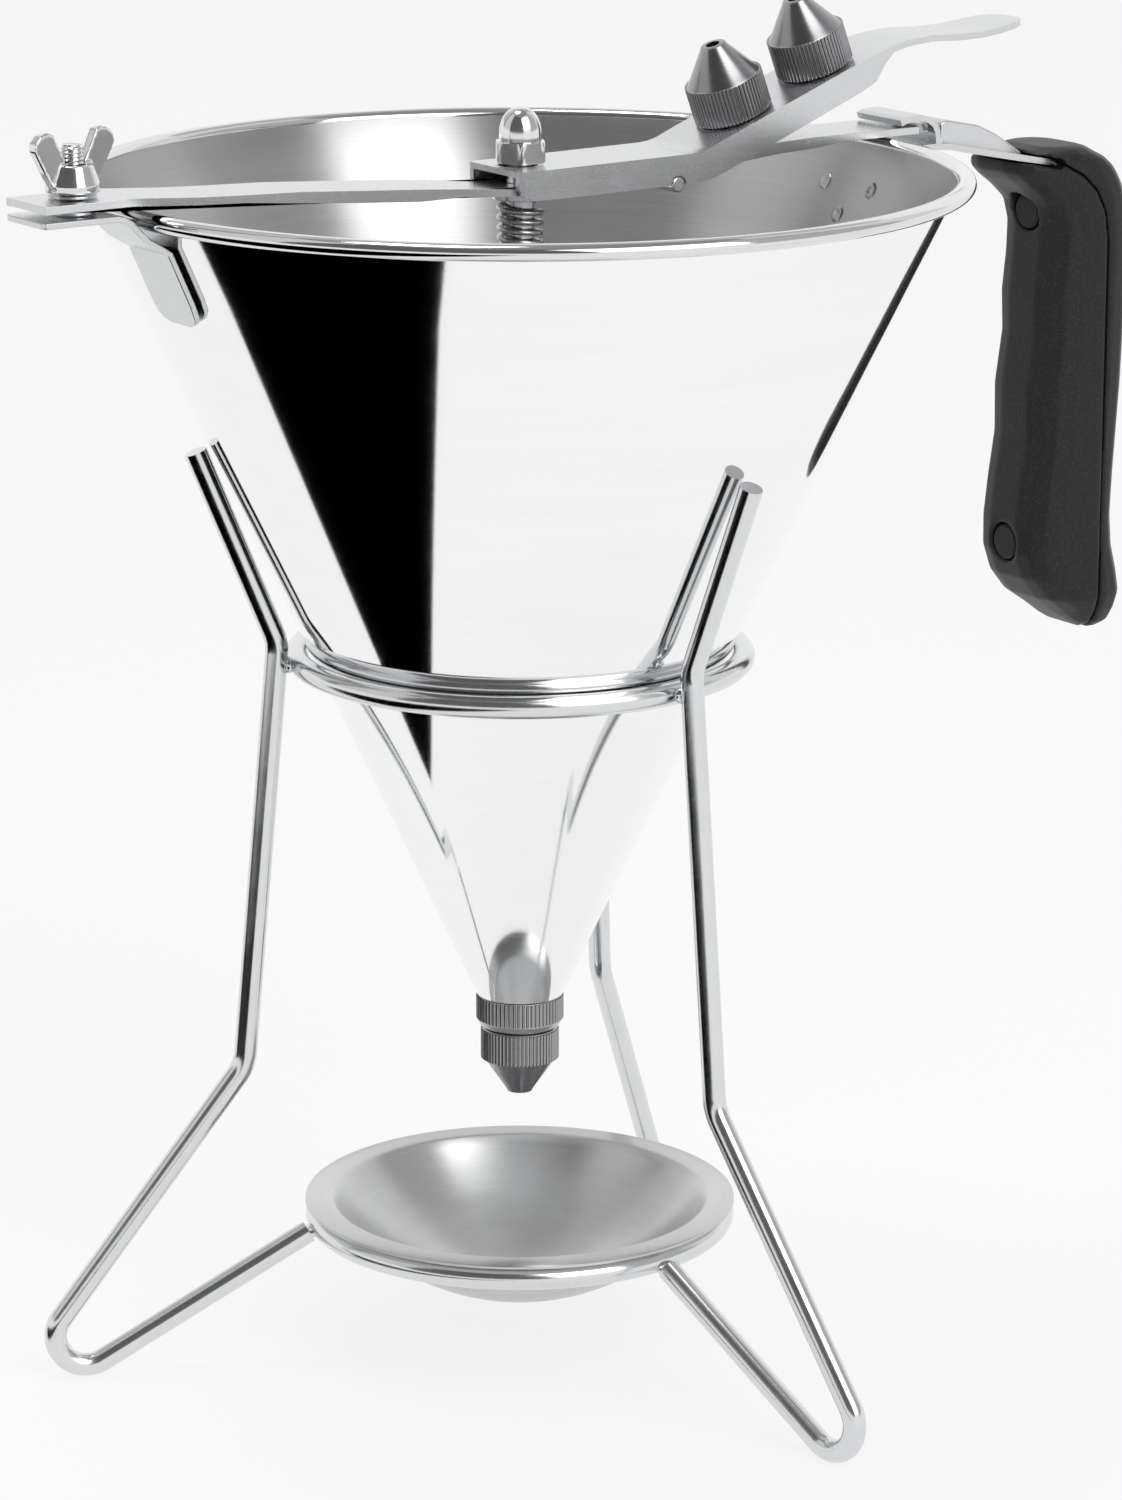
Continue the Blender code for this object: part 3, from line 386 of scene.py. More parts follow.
# %% A tree that sweeps a wire
def wire_tree():
    tree = bpy.data.node_groups.new("sweep a wire", "GeometryNodeTree")
    tree.interface.new_socket("Path", in_out="INPUT", socket_type="NodeSocketGeometry")
    radius = tree.interface.new_socket("Wire radius", in_out="INPUT", socket_type="NodeSocketFloat")
    finish = tree.interface.new_socket("Finish", in_out="INPUT", socket_type="NodeSocketMaterial")
    tree.interface.new_socket("Wire", in_out="OUTPUT", socket_type="NodeSocketGeometry")
    start = tree.nodes.new("NodeGroupInput")
    circle = tree.nodes.new("GeometryNodeCurvePrimitiveCircle")
    circle.inputs["Resolution"].default_value = 20
    sweep = tree.nodes.new("GeometryNodeCurveToMesh")
    sweep.inputs["Fill Caps"].default_value = True
    shade = tree.nodes.new("GeometryNodeSetShadeSmooth")
    real = tree.nodes.new("GeometryNodeRealizeInstances")
    paint = tree.nodes.new("GeometryNodeSetMaterial")
    end = tree.nodes.new("NodeGroupOutput")
    link = tree.links.new
    link(start.outputs["Wire radius"], circle.inputs["Radius"])
    link(start.outputs["Path"], sweep.inputs["Curve"])
    link(circle.outputs["Curve"], sweep.inputs["Profile Curve"])
    link(sweep.outputs["Mesh"], shade.inputs["Geometry"])
    link(shade.outputs["Geometry"], real.inputs["Geometry"])
    link(real.outputs["Geometry"], paint.inputs["Geometry"])
    link(start.outputs["Finish"], paint.inputs["Material"])
    link(paint.outputs["Geometry"], end.inputs["Wire"])
    return tree, radius.identifier, finish.identifier


sweep_tree, sweep_radius, sweep_finish = wire_tree()


def wire_piece(name, points, radius, finish, cyclic=False):
    curve = bpy.data.curves.new(name, "CURVE")
    curve.dimensions = "3D"
    line = curve.splines.new("POLY")
    line.points.add(len(points) - 1)
    for point, spot in zip(line.points, points):
        point.co = (*spot, 1)
    line.use_cyclic_u = cyclic
    guide = bpy.data.objects.new(name + "_path", curve)
    bpy.context.scene.collection.objects.link(guide)
    step = guide.modifiers.new("sweep", "NODES")
    step.node_group = sweep_tree
    step[sweep_radius] = radius
    step[sweep_finish] = finishes[finish]
    bpy.context.view_layer.update()
    shown = guide.evaluated_get(bpy.context.evaluated_depsgraph_get())
    mesh = bpy.data.meshes.new_from_object(shown)
    bpy.data.objects.remove(guide, do_unlink=True)
    form = bmesh.new()
    form.from_mesh(mesh)
    bmesh.ops.recalc_face_normals(form, faces=form.faces)
    form.to_mesh(mesh)
    form.free()
    mesh.name = name
    return new_piece(name, mesh, (finish,))


# %% [markdown]
# ## The stand: two rings and three folded legs
# Each leg is one wire. It starts beside the cone, bends in to meet the upper ring, runs down and
# out, folds back on itself at the foot and climbs to the lower ring. Bends in wire are arcs, so the
# path is straight runs joined by arcs of the bend's radius.

# %% Bend the path of a leg
wire, seat_gap, foot_lean = 0.00245, 0.0003, 10
wire_corner = wire / math.cos(math.pi / 8)
ring_height, dish_ring, dish_ring_height = 0.1557, 0.0443, 0.0305
wire_clear = (wire_corner + seat_gap) / math.cos(math.atan(wall_slope))
ring_radius = wall_radius(ring_height) + wire_clear
foot_bend, foot_reach = 0.0069, 0.0956
foot = Vector((foot_reach, (foot_bend + wire) * math.cos(math.radians(foot_lean))))


def arc_between(before, corner, after, radius, steps):
    before, corner, after = map(Vector, (before, corner, after))
    back, on = (before - corner).normalized(), (after - corner).normalized()
    half = back.angle(on) / 2
    middle = corner + (back + on).normalized() * (radius / math.sin(half))
    start = corner + back * (radius / math.tan(half)) - middle
    end = corner + on * (radius / math.tan(half)) - middle
    first = math.atan2(start.y, start.x)
    sweep = math.atan2(start.x * end.y - start.y * end.x, start.dot(end))
    return [(middle.x + radius * math.cos(first + sweep * k / steps),
             middle.y + radius * math.sin(first + sweep * k / steps)) for k in range(steps + 1)]


def touch(point, side):
    away = Vector(point) - foot
    return math.degrees(math.atan2(away.y, away.x) + side * math.acos(foot_bend / away.length))


def on_foot(degrees):
    a = math.radians(degrees)
    return tuple(foot + foot_bend * Vector((math.cos(a), math.sin(a))))


tip_height, waist_rise, leg_steep = 0.2024, 0.005, 12
bend, bend_rows, foot_rows, hoop_rows = 0.010, 12, 28, 160
tip = (wall_radius(tip_height) + wire_clear, tip_height)
waist = (ring_radius + 2 * wire + seat_gap - waist_rise / leg_steep, ring_height + waist_rise)
knee, hoop = (0.0605, 0.0679), Vector((dish_ring, dish_ring_height))
outer, inner = touch(knee, -1), touch(hoop, 1) - 360
path = [tip] + arc_between(tip, waist, knee, bend, bend_rows)
path += arc_between(waist, knee, on_foot(outer), bend, bend_rows)
path += [on_foot(outer + (inner - outer) * k / foot_rows) for k in range(foot_rows + 1)]
inward = (hoop - Vector(on_foot(inner))).normalized()
path.append(tuple(hoop - inward * (wire_corner + seat_gap)))
leg_turns = (38, 158, 278)
for letter, turn in zip("abc", leg_turns):
    leg = [round_axis(r, math.radians(turn), z) for r, z in path]
    stands_for(wire_piece("wire_leg_" + letter, leg, wire, "wire"), "stand_leg_" + letter)
for name, radius, height in (("upper", ring_radius, ring_height),
                             ("lower", dish_ring, dish_ring_height)):
    loop = [round_axis(radius, math.tau * k / hoop_rows, height) for k in range(hoop_rows)]
    stands_for(wire_piece("wire_ring_" + name, loop, wire, "wire", True), "stand_%s_ring" % name)
print("leg path points:", len(path))

# %% [markdown]
# ## Weld beads on the stand
# Where a leg meets a ring the wire is welded: a small lump of metal fills the corner. A squashed
# sphere, a little rough, is enough at this size.

# %% Weld the legs to the rings
lumps = bmesh.new()
lump_sizes = ((ring_radius + wire, ring_height, (0.0012, 0.0022, 0.0019)),
              (dish_ring + 0.0020, dish_ring_height - 0.0014, (0.0021, 0.0026, 0.0013)))
for turn in leg_turns:
    a = math.radians(turn)
    for radius, height, size in lump_sizes:
        made = bmesh.ops.create_icosphere(lumps, subdivisions=3, radius=1.0)
        matrix = (Matrix.Translation(round_axis(radius, a, height))
                  @ Matrix.Rotation(a, 4, "Z") @ Matrix.Diagonal((*size, 1)))
        bmesh.ops.transform(lumps, matrix=matrix, verts=made["verts"])
stands_for(new_piece("stand_welds", smooth(mesh_of(lumps, "stand_welds"), 80), ("wire",)),
           "stand_upper_ring", hide=False)
print("weld lumps:", len(leg_turns) * len(lump_sizes))

# %% [markdown]
# ## Knurling
# The collar and the nozzles have about sixty fine straight ribs so that fingers can turn them. A
# rib is repeated round a circle, which is a rule, so a Geometry Nodes tree places them.

# %% A tree that sets ribs round a band
def rib_tree():
    tree = bpy.data.node_groups.new("ribs round a band", "GeometryNodeTree")
    ask = {}
    for label, kind in (("Ribs", "NodeSocketInt"), ("Band radius", "NodeSocketFloat"),
                        ("Rib radius", "NodeSocketFloat"), ("Band height", "NodeSocketFloat"),
                        ("Finish", "NodeSocketMaterial")):
        ask[label] = tree.interface.new_socket(label, in_out="INPUT", socket_type=kind).identifier
    tree.interface.new_socket("Knurling", in_out="OUTPUT", socket_type="NodeSocketGeometry")
    start = tree.nodes.new("NodeGroupInput")
    hoop = tree.nodes.new("GeometryNodeMeshCircle")
    rib = tree.nodes.new("GeometryNodeMeshCylinder")
    rib.inputs["Vertices"].default_value = 8
    repeat = tree.nodes.new("GeometryNodeInstanceOnPoints")
    real = tree.nodes.new("GeometryNodeRealizeInstances")
    paint = tree.nodes.new("GeometryNodeSetMaterial")
    end = tree.nodes.new("NodeGroupOutput")
    link = tree.links.new
    link(start.outputs["Ribs"], hoop.inputs["Vertices"])
    link(start.outputs["Band radius"], hoop.inputs["Radius"])
    link(start.outputs["Rib radius"], rib.inputs["Radius"])
    link(start.outputs["Band height"], rib.inputs["Depth"])
    link(hoop.outputs["Mesh"], repeat.inputs["Points"])
    link(rib.outputs["Mesh"], repeat.inputs["Instance"])
    link(repeat.outputs["Instances"], real.inputs["Geometry"])
    link(real.outputs["Geometry"], paint.inputs["Geometry"])
    link(start.outputs["Finish"], paint.inputs["Material"])
    link(paint.outputs["Geometry"], end.inputs["Knurling"])
    return tree, ask


knurl_tree, knurl_ask = rib_tree()


def knurled(name, profile, band_radius, low, high, matrix, ribs=60, rib_radius=0.00034):
    carrier = bpy.data.objects.new(name + "_ribs", bpy.data.meshes.new(name + "_ribs"))
    bpy.context.scene.collection.objects.link(carrier)
    step = carrier.modifiers.new("knurl", "NODES")
    step.node_group = knurl_tree
    for label, value in (("Ribs", ribs), ("Band radius", band_radius - rib_radius),
                         ("Rib radius", rib_radius), ("Band height", high - low),
                         ("Finish", finishes["turned"])):
        step[knurl_ask[label]] = value
    bpy.context.view_layer.update()
    shown = carrier.evaluated_get(bpy.context.evaluated_depsgraph_get())
    teeth = bpy.data.meshes.new_from_object(shown)
    bpy.data.objects.remove(carrier, do_unlink=True)
    teeth.transform(Matrix.Translation((0, 0, (low + high) / 2)))
    whole = bmesh.new()
    for part in (turned_mesh(name, profile, 96), teeth):
        whole.from_mesh(part)
        bpy.data.meshes.remove(part)
    whole.transform(matrix)
    bmesh.ops.recalc_face_normals(whole, faces=whole.faces)
    return new_piece(name, smooth(mesh_of(whole, name), 30), ("turned", "cone_tip"))


# %% [markdown]
# ## The collar and the three nozzles
# The collar is turned, with a knurled band above and a threaded spigot below, and one nozzle screws
# onto it. Two spare nozzles wait on posts that stand square on the sloping lever. One profile makes
# all three: it is turned upside down once, and twice it leans with the lever.

# %% The collar and the three nozzles
nozzle_radius, tooth_depth, nozzle_bore, nozzle_socket = 0.0085, 0.00036, 0.0015, 0.0063


def nozzle_profile(band):
    """A nozzle that stands on its open end, with a knurled band of this height."""
    root = nozzle_radius - tooth_depth
    return [(root - 0.0003, 0.0, 0), (root, 0.0003, 0), (root, band - 0.0009, 0),
            (root - 0.0002, band - 0.0006, 1), (0.0074, band, 1), (0.0030, band + 0.0064, 1),
            (0.0027, band + 0.0070, 1), (0.0023, band + 0.0071, 1),
            (nozzle_bore, band + 0.0071, 1), (nozzle_bore, band + 0.003, 1),
            (0.0030, band, 0), (nozzle_socket, band, 0), (nozzle_socket, 0.0, 0)]


collar_top = cone_end - seat_gap
collar_low, spigot_end = collar_top - 0.0071, collar_top - 0.0125
spigot_radius, spigot_root, spigot_bore = 0.0060, 0.00585, 0.0042
collar = [(0.0091, collar_top), (0.00914, collar_top - 0.0002), (0.00914, collar_top - 0.0052),
          (0.0092, collar_top - 0.0054), (0.0086, collar_top - 0.0066), (0.0078, collar_low),
          (spigot_radius, collar_low)]
for k in range(14):
    collar.append((spigot_root if k % 2 else spigot_radius, collar_top - 0.0073 - k * 0.00038))
collar += [(0.0058, spigot_end), (spigot_bore, spigot_end), (spigot_bore, collar_top - 0.005),
           (wall_radius(cone_end) - wall_across, collar_top)]
stands_for(knurled("collar", collar, 0.0095, collar_top - 0.0052, collar_top - 0.0001, at_axis()),
           "outlet_collar")

nozzle_top, fitted_band, spare_band = collar_low - seat_gap, 0.0075, 0.0089
flip = at_axis(z=nozzle_top) @ Matrix.Rotation(math.pi, 4, "X")
stands_for(knurled("nozzle_fitted", nozzle_profile(fitted_band), nozzle_radius, 0.0002,
                   fitted_band - 0.0007, flip), "dispensing_nozzle")
tilt = math.radians(20.73)
for letter, reach, height in (("a", 0.0553, 0.26660), ("b", 0.0770, 0.27481)):
    base = at_axis(reach - seat_gap * math.sin(tilt), 0, height + seat_gap * math.cos(tilt))
    stands_for(knurled("nozzle_spare_" + letter, nozzle_profile(spare_band), nozzle_radius, 0.0002,
                       spare_band - 0.0007, base @ Matrix.Rotation(-tilt, 4, "Y")),
               "spare_nozzle_" + letter)
print("nozzle cone top at", round(nozzle_top, 4), "spares lean", round(math.degrees(tilt), 2))

# %% [markdown]
# ## Threads and the return spring
# A thread is a stack of ridges whose start climbs with the turn. The stud's thread is coarse enough
# to see, so it gets a real helix. The return spring is a wire bent along the same kind of path.

# %% Cut the stud's thread and wind the spring
def skin(form, rows):
    """Faces between rings of vertices, and a cap at each end."""
    count = len(rows[0])
    for here, there in zip(rows, rows[1:]):
        for i in range(count):
            j = (i + 1) % count
            form.faces.new((here[i], here[j], there[j], there[i]))
    form.faces.new(list(reversed(rows[0])))
    form.faces.new(rows[-1])


def threaded(name, radius, low, high, pitch, matrix, cut=0.00032, count=32):
    rows_per_turn, end_taper = 6, 0.0004
    form = bmesh.new()
    steps = int((high - low) / pitch * rows_per_turn)
    rows = []
    for k in range(steps + 1):
        height = low + (high - low) * k / steps
        edge = min(1.0, (high - height) / pitch)
        row = []
        for i in range(count):
            wave = abs(((height / pitch - i / count) % 1.0) * 2 - 1)
            r, a = radius - cut * wave - end_taper * (1 - edge), math.tau * i / count
            row.append(form.verts.new((r * math.cos(a), r * math.sin(a), height)))
        rows.append(row)
    skin(form, rows)
    form.transform(matrix)
    return mesh_of(form, name)


stud = bmesh.new()
low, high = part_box("clamp_stud")
stud_reach, core, flange, thread_pitch = 0.1073, 0.0023, 0.0045, 0.0008
stud_spot = at_axis(-stud_reach)
shoulder_line = [(0.0, low[2]), (core, low[2]), (core, low[2] + 0.0015),
                 (flange, low[2] + 0.0016), (flange, low[2] + 0.0026), (core, low[2] + 0.0027),
                 (0.0, low[2] + 0.0027)]
shoulder = turned_mesh("shoulder", shoulder_line, 48, stud_spot)
helix = threaded("helix", 0.0024, low[2] + 0.0026, high[2], thread_pitch, stud_spot)
for part in (shoulder, helix):
    stud.from_mesh(part)
    bpy.data.meshes.remove(part)
stands_for(new_piece("stud_threaded", smooth(mesh_of(stud, "stud_threaded"), 50), ("wire",)),
           "clamp_stud")

low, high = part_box("return_spring")
coil_radius, coil_wire, coil_pitch, coil_turns, turn_rows = 0.0044, 0.0006, 0.0021, 22, 20
coil = [round_axis(coil_radius, math.tau * k / turn_rows,
                   high[2] - coil_wire - coil_pitch * k / turn_rows)
        for k in range(coil_turns * turn_rows + 1)]
spring = wire_piece("spring_coil", coil, coil_wire, "spring")
stands_for(spring, "return_spring")
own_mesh(spring)
print("spring turns:", coil_turns, "thread pitch in mm:", round(thread_pitch * 1000, 2))

# %% [markdown]
# ## The dish
# The dish hangs by its flat flange on the lower ring. Its bowl is part of a sphere with a small
# flat floor, and it is brushed round its axis like the inside of the cone. A closed profile with
# both faces of the sheet gives it a real thickness, which one face with Solidify would give less
# exactly.

# %% Spin the dish
dish_sheet, floor_top, bottom, flat = 0.0009, 0.0147, 0.0138, 0.0128
flange_low = dish_ring_height + wire + seat_gap
flange_top = flange_low + dish_sheet
bowl_outer = dish_ring - wire - seat_gap
bowl_inner = bowl_outer - dish_sheet


def bowl(rim, low, high, steps=26):
    """A shallow round bowl from its rim to its flat floor, with an eased corner at the floor."""
    eased_rows, easing = 4, 0.00035
    centre_rise = (rim ** 2 - flat ** 2 + (high - low) ** 2) / (2 * (high - low))
    sphere = math.hypot(flat, centre_rise)
    line = []
    for k in range(steps + 1):
        r = rim + (flat - rim) * k / steps
        z = low + math.sqrt(sphere ** 2 - flat ** 2) - math.sqrt(sphere ** 2 - r ** 2)
        line.append((r, z + easing * max(0.0, (k - steps + eased_rows) / eased_rows) ** 2))
    return line + [(flat - 0.0012, low + 0.00012), (flat - 0.0026, low)]


dish = [(0.0465, flange_low), (0.0468, flange_low + 0.0002), (0.0468, flange_top - 0.0002),
        (0.0465, flange_top), (bowl_inner + 0.0007, flange_top),
        (bowl_inner + 0.0003, flange_top - 0.0001)]
dish += bowl(bowl_inner - 0.0001, floor_top, flange_top - 0.0004)
dish += [(0.0, floor_top), (0.0, bottom)]
dish += reversed(bowl(bowl_outer - 0.0002, bottom, flange_low))
stands_for(new_piece("dish_brushed", turned_mesh("dish_brushed", dish, 160, at_axis()), ("dish",)),
           "drip_dish")
print("dish depth in mm:", round((flange_top - floor_top) * 1000, 1))

# %% [markdown]
# ## Softened edges
# Cut sheet has a small round on each edge that catches the light. Each sheet piece starts as a
# merged copy of its solid. Coplanar triangles are joined again, and a bevel rounds what is sharp.

# %% Copies of solids with softened edges
def merged_copy(node, name, flat_angle):
    """A node's solid with its loose triangles joined, and flat areas made one face each."""
    form = bmesh.new()
    form.from_mesh(frame["nodes"][node].data)
    form.transform(frame["nodes"][node].matrix_world)
    bmesh.ops.remove_doubles(form, verts=form.verts, dist=0.00001)
    if flat_angle:
        bmesh.ops.dissolve_limit(form, angle_limit=math.radians(flat_angle), verts=form.verts,
                                 edges=form.edges)
    return mesh_of(form, name)


def apply_all(piece):
    bpy.context.view_layer.update()
    shown = piece.evaluated_get(bpy.context.evaluated_depsgraph_get())
    mesh = bpy.data.meshes.new_from_object(shown)
    piece.modifiers.clear()
    piece.data = mesh
    return piece


def softened(node, name, finish, width):
    flat_angle, shade_angle, bevel_angle = 0.4, 32, 28
    piece = new_piece(name, smooth(merged_copy(node, name, flat_angle), shade_angle), (finish,))
    round_off = piece.modifiers.new("soften", "BEVEL")
    round_off.width, round_off.segments = width, 2
    round_off.limit_method, round_off.angle_limit = "ANGLE", math.radians(bevel_angle)
    even = piece.modifiers.new("even", "WEIGHTED_NORMAL")
    even.keep_sharp, even.weight = True, 80
    stands_for(apply_all(piece), node)


soft_pieces = (
    ("crossbar", "bar_softened", "sheet", 0.0003),
    ("lever", "lever_softened", "sheet", 0.0003),
    ("clamp_bracket", "clamp_bracket_softened", "sheet", 0.0003),
    ("handle_bracket", "strap_softened", "sheet", 0.0003),
    ("wing_nut_washer", "washer_softened", "wire", 0.00015),
    ("spring_washer", "spring_washer_softened", "wire", 0.0002),
    ("spring_stop", "stop_softened", "wire", 0.0003),
    ("fulcrum_pin", "pin_softened", "polished", 0.0004),
    ("spare_nozzle_stud_a", "post_a_softened", "wire", 0.0002),
    ("spare_nozzle_stud_b", "post_b_softened", "wire", 0.0002),
    ("valve_plug", "plug_softened", "rubber", 0.0003),
    ("nozzle_seal", "seal_softened", "rubber", 0.0003),
    ("valve_rod", "rod_softened", "wire", 0.0002))
for node, name, finish, width in soft_pieces:
    softened(node, name, finish, width)
print("softened pieces:", len(soft_pieces))

# %% [markdown]
# ## Cast and moulded forms
# The wing nut is forged and the handle is moulded, so nothing on them is sharp. Remeshing a merged
# copy at a fine step and smoothing it rounds every edge and joins the steps of the coarse solid.

# %% Remesh and smooth
def flowing(node, name, finish, voxel, rounds):
    piece = new_piece(name, merged_copy(node, name, 0), (finish,))
    fine = piece.modifiers.new("remesh", "REMESH")
    fine.mode, fine.voxel_size, fine.adaptivity = "VOXEL", voxel, 0.0
    ease = piece.modifiers.new("ease", "SMOOTH")
    ease.factor, ease.iterations = 0.5, rounds
    apply_all(piece)
    piece.data.materials.clear()
    piece.data.materials.append(finishes[finish])
    piece.data.shade_smooth()
    return stands_for(piece, node)


wing = flowing("wing_nut", "wing_nut_forged", "polished", 0.00024, 5)
grip = flowing("handle_grip", "handle_grip_moulded", "handle", 0.00052, 7)
spine = flowing("handle_spine", "handle_spine_moulded", "handle", 0.00052, 7)
print("faces: wing nut", len(wing.data.polygons), "grip", len(grip.data.polygons),
      "spine", len(spine.data.polygons))

# %% [markdown]
# ## The cap nut
# The cap nut is a hexagon under a dome, with a crease where they meet. It is built from rings of
# vertices: six flats with their corners turned off for the hexagon, and circles for the dome.

# %% Build the cap nut
low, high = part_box("cap_nut")
base, top = float(low[2]), float(high[2])
flats, dome_radius, turned_off, count = 0.005, 0.0045, 0.93, 96
hexagon_top, corner = base + 0.0043, flats / math.cos(math.pi / 6)
dome_low = hexagon_top + 0.0012
form = bmesh.new()
rows = []
for level, reach in ((base, turned_off), (base + 0.0004, 1.0),
                     (hexagon_top - 0.0004, 1.0), (hexagon_top, turned_off)):
    row = []
    for i in range(count):
        a = math.tau * i / count
        side = min(flats / math.cos((a % (math.pi / 3)) - math.pi / 6), corner * reach)
        row.append(form.verts.new((side * math.cos(a), side * math.sin(a), level)))
    rows.append(row)
dome = [(dome_radius, hexagon_top), (0.00455, hexagon_top + 0.0003), (dome_radius, dome_low)]
dome += [(dome_radius * math.cos(math.radians(a)) ** 0.8,
          dome_low + (top - dome_low) * math.sin(math.radians(a)))
         for a in (12, 24, 36, 48, 60, 70, 80)]
for radius, level in dome:
    rows.append([form.verts.new((radius * math.cos(math.tau * i / count),
                                 radius * math.sin(math.tau * i / count), level))
                 for i in range(count)])
skin(form, rows)
form.transform(at_axis())
stands_for(new_piece("cap_nut_domed", smooth(mesh_of(form, "cap_nut_domed"), 28), ("polished",)),
           "cap_nut")
print("cap nut rings:", len(rows))

# %% [markdown]
# ## The handle's plugs
# Each plug in the handle is a low disc in a round recess. It is turned like the other round parts,
# and then laid on its side and moved to the middle of its node.

# %% Set the plugs in the handle
for place_name in ("upper", "lower"):
    node, name = "handle_plug_" + place_name, "plug_" + place_name
    low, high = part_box(node)
    middle = (Vector(low) + Vector(high)) / 2
    depth, radius = float(high[0] - low[0]), float(high[2] - low[2]) / 2
    disc = [(0.0, depth), (radius - 0.0006, depth), (radius - 0.0001, depth - 0.0005),
            (radius, depth - 0.0012), (radius, 0.0), (0.0, 0.0)]
    turn = (Matrix.Translation((high[0], middle[1], middle[2]))
            @ Matrix.Rotation(-math.pi / 2, 4, "Y"))
    stands_for(new_piece(name, turned_mesh(name, disc, 64, turn), ("rubber",)), node)
    print(name, "radius in mm:", round(radius * 1000, 2))

# %% [markdown]
# ## Studio: floor, soft lights and dark cards
# Polished steel shows its surroundings. A product studio has large white lights and a few black
# cards, and the black band down the cone is one of those cards. The cards and the floor are stage,
# and the cards are hidden from the camera, so they act only through reflections.

# %% Floor and background
def flat_card(name, corners, material):
    mesh = bpy.data.meshes.new(name)
    mesh.from_pydata(corners, [], [tuple(range(len(corners)))])
    mesh.materials.append(material)
    card = bpy.data.objects.new(name, mesh)
    bpy.context.scene.collection.objects.link(card)
    return card


floor_look = bpy.data.materials.new("floor_white")
floor_look.use_nodes = True
tree = floor_look.node_tree
shader = tree.nodes["Principled BSDF"]
shader.inputs["Base Color"].default_value = (0.97, 0.97, 0.97, 1)
shader.inputs["Roughness"].default_value = 0.6
shader.inputs["Specular IOR Level"].default_value = 0.2
paper_share, world_light = 0.8, 0.5


def seen_direct(tree, share):
    """1 where the camera or a mirror sees the surface, so that steel shows the same white paper."""
    path = tree.nodes.new("ShaderNodeLightPath")
    seen = Wire(tree, path.outputs["Is Camera Ray"]) + Wire(tree, path.outputs["Is Glossy Ray"])
    seen = seen + Wire(tree, path.outputs["Is Transmission Ray"])
    return seen.math("MINIMUM", 1.0) * share


glow = tree.nodes.new("ShaderNodeEmission")
glow.inputs["Color"].default_value = (1, 1, 1, 1)
glow.inputs["Strength"].default_value = 1.0
mix = tree.nodes.new("ShaderNodeMixShader")
tree.links.new(seen_direct(tree, paper_share).socket, mix.inputs[0])
tree.links.new(shader.outputs[0], mix.inputs[1])
tree.links.new(glow.outputs[0], mix.inputs[2])
tree.links.new(mix.outputs[0], tree.nodes["Material Output"].inputs["Surface"])
half = 3
floor = flat_card("studio_floor", [(-half, -half, 0), (half, -half, 0), (half, half, 0),
                                   (-half, half, 0)], floor_look)

world = bpy.data.worlds.new("studio_world")
world.use_nodes = True
tree = world.node_tree
sky = tree.nodes["Background"]
sky.inputs["Color"].default_value = (1, 1, 1, 1)
light_share = seen_direct(tree, 1.0 - world_light) + world_light
tree.links.new(light_share.socket, sky.inputs["Strength"])
bpy.context.scene.world = world


# %% [markdown]
# ## Cards round the object
# Each wall card stands at the compass angle and height where its reflection falls in the brushed
# inside of the cone, which blurs the greys together. One black card lies on the floor at the left,
# and its reflection is the dark band down the outside.

# %% A card that only reflections see
def card_look(name, grey):
    look = bpy.data.materials.new(name)
    look.use_nodes = True
    shader = look.node_tree.nodes["Principled BSDF"]
    shader.inputs["Base Color"].default_value = (0, 0, 0, 1)
    shader.inputs["Roughness"].default_value = 1.0
    shader.inputs["Specular IOR Level"].default_value = 0.0
    shader.inputs["Emission Color"].default_value = (grey, grey, grey, 1)
    shader.inputs["Emission Strength"].default_value = 1.0
    return look


def reflected_only(card):
    card.visible_camera = card.visible_diffuse = card.visible_shadow = False
    return card


card_distance, card_centre, card_top = 2.2, 0.15, 62


def wall_card(name, first, last, low, high, grey, steps=24):
    """A curved card round the object, from one compass angle to another."""
    corners, faces = [], []
    for k in range(steps + 1):
        a = math.radians(first + (last - first) * k / steps)
        for level in map(math.radians, (low, high)):
            corners.append(round_axis(card_distance * math.cos(level), a,
                                      card_centre + card_distance * math.sin(level)))
    for k in range(steps):
        faces.append((2 * k, 2 * k + 1, 2 * k + 3, 2 * k + 2))
    mesh = bpy.data.meshes.new(name)
    mesh.from_pydata(corners, [], faces)
    mesh.materials.append(card_look(name + "_paint", grey))
    card = bpy.data.objects.new(name, mesh)
    bpy.context.scene.collection.objects.link(card)
    return reflected_only(card)


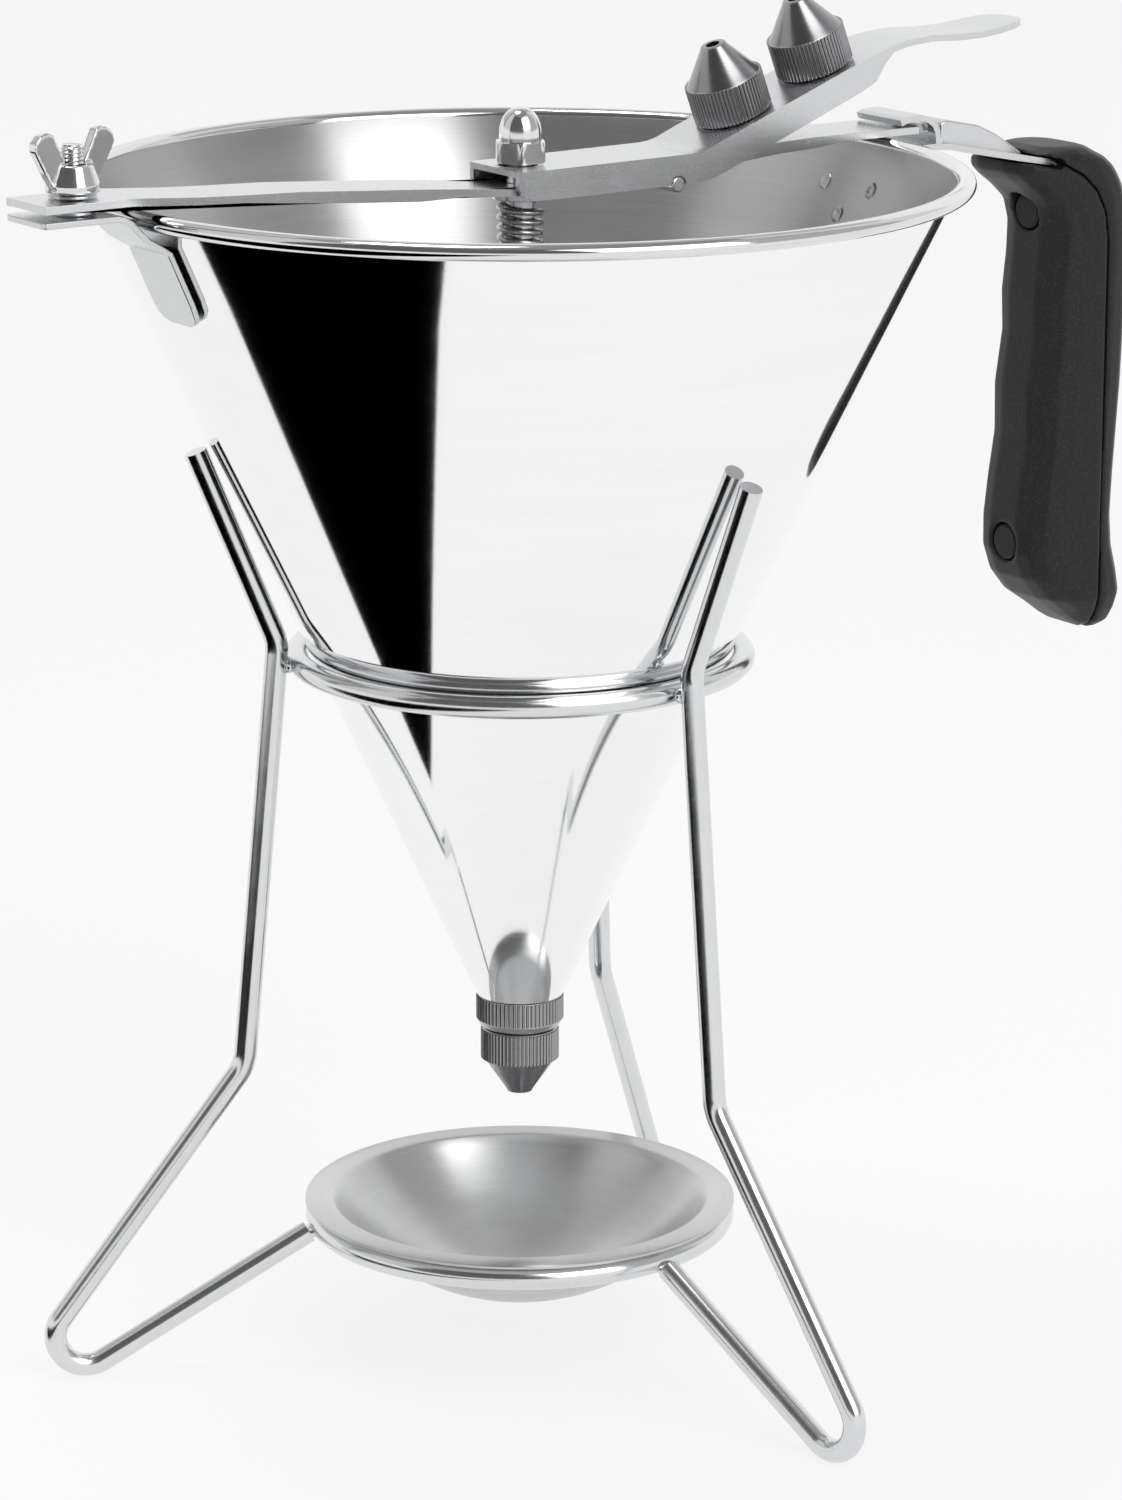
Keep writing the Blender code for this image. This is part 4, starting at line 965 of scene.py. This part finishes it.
# %% Set the cards
flag_height = 0.0006
flag_corners = [(-0.119, 0.048), (-0.49, -0.725), (-0.9, -0.3), (-0.9, 0.9), (-0.55, 0.62)]
flag = flat_card("flag_left", [(axis_x + x, axis_y + y, flag_height) for x, y in flag_corners],
                 card_look("flag_paint", 0.0))
reflected_only(flag)
wall_cards = (
    ("card_front_right", -66, -16, 8, 0.50), ("card_right", -16, 8, 8, 0.80),
    ("card_front_left", -185, -106, 8, 0.13), ("card_left", 134, 175, 12, 0.72),
    ("card_strip", 124, 134, 12, 0.24), ("card_back_left", 88, 124, 16, 0.62),
    ("card_back", 8, 88, 40, 0.55), ("card_front", -106, -66, 60, 0.4))
for name, first, last, low, grey in wall_cards:
    wall_card(name, first, last, low, card_top, grey)
wall_card("ceiling", -180, 180, card_top, 90, 0.30, 48)
print("wall cards:", len(wall_cards))

# %% [markdown]
# ## Camera
# The camera looks at the funnel from the front left and a little above, with the lens of a product
# photograph taken from about 1.2 m away.

# %% Set the camera
camera_data = bpy.data.cameras.new("camera")
camera_data.lens, camera_data.sensor_width = 134.46, 36.0
camera_data.clip_start = 0.05
camera = bpy.data.objects.new("camera", camera_data)
bpy.context.scene.collection.objects.link(camera)
camera_spot = Vector((axis_x - 0.657214, axis_y - 0.956253, 0.437529))
right, up, forward = (Vector((0.820167, -0.572119, 0.002368)),
                      Vector((0.142792, 0.208705, 0.967498)),
                      Vector((0.554018, 0.793172, -0.252867)))
turn = Matrix((right, up, -forward)).transposed()
camera.matrix_world = Matrix.Translation(camera_spot) @ turn.to_4x4()
bpy.context.scene.camera = camera
bpy.context.scene.view_settings.view_transform = "Standard"

# %% [markdown]
# ## Lights
# Two soft area lights do what the white surroundings can't: a large one from the front shapes the
# handle and the sheet parts, and a small one from above lays the faint shadow under the stand.

# %% Set the lights
def area_light(name, spot, target, wide, watts, tall):
    data = bpy.data.lights.new(name, "AREA")
    data.shape, data.size, data.size_y = "RECTANGLE", wide, tall
    data.energy = watts
    lamp = bpy.data.objects.new(name, data)
    bpy.context.scene.collection.objects.link(lamp)
    aim = (target - spot).to_track_quat("-Z", "Y").to_matrix().to_4x4()
    lamp.matrix_world = Matrix.Translation(spot) @ aim


def above_axis(height):
    return Vector((axis_x, axis_y, 0)) + Vector((0, 0, height))


def toward(compass, height, reach):
    a, b = math.radians(compass), math.radians(height)
    way = Vector((math.cos(a) * math.cos(b), math.sin(a) * math.cos(b), math.sin(b)))
    return above_axis(0.2) + reach * way


area_light("light_front", toward(-86, 36, 1.7), above_axis(0.2), 1.15, 11, 1.3)
area_light("light_top", toward(120, 78, 1.6), above_axis(0.1), 0.5, 6, 0.5)
print("lights:", len(bpy.data.lights))
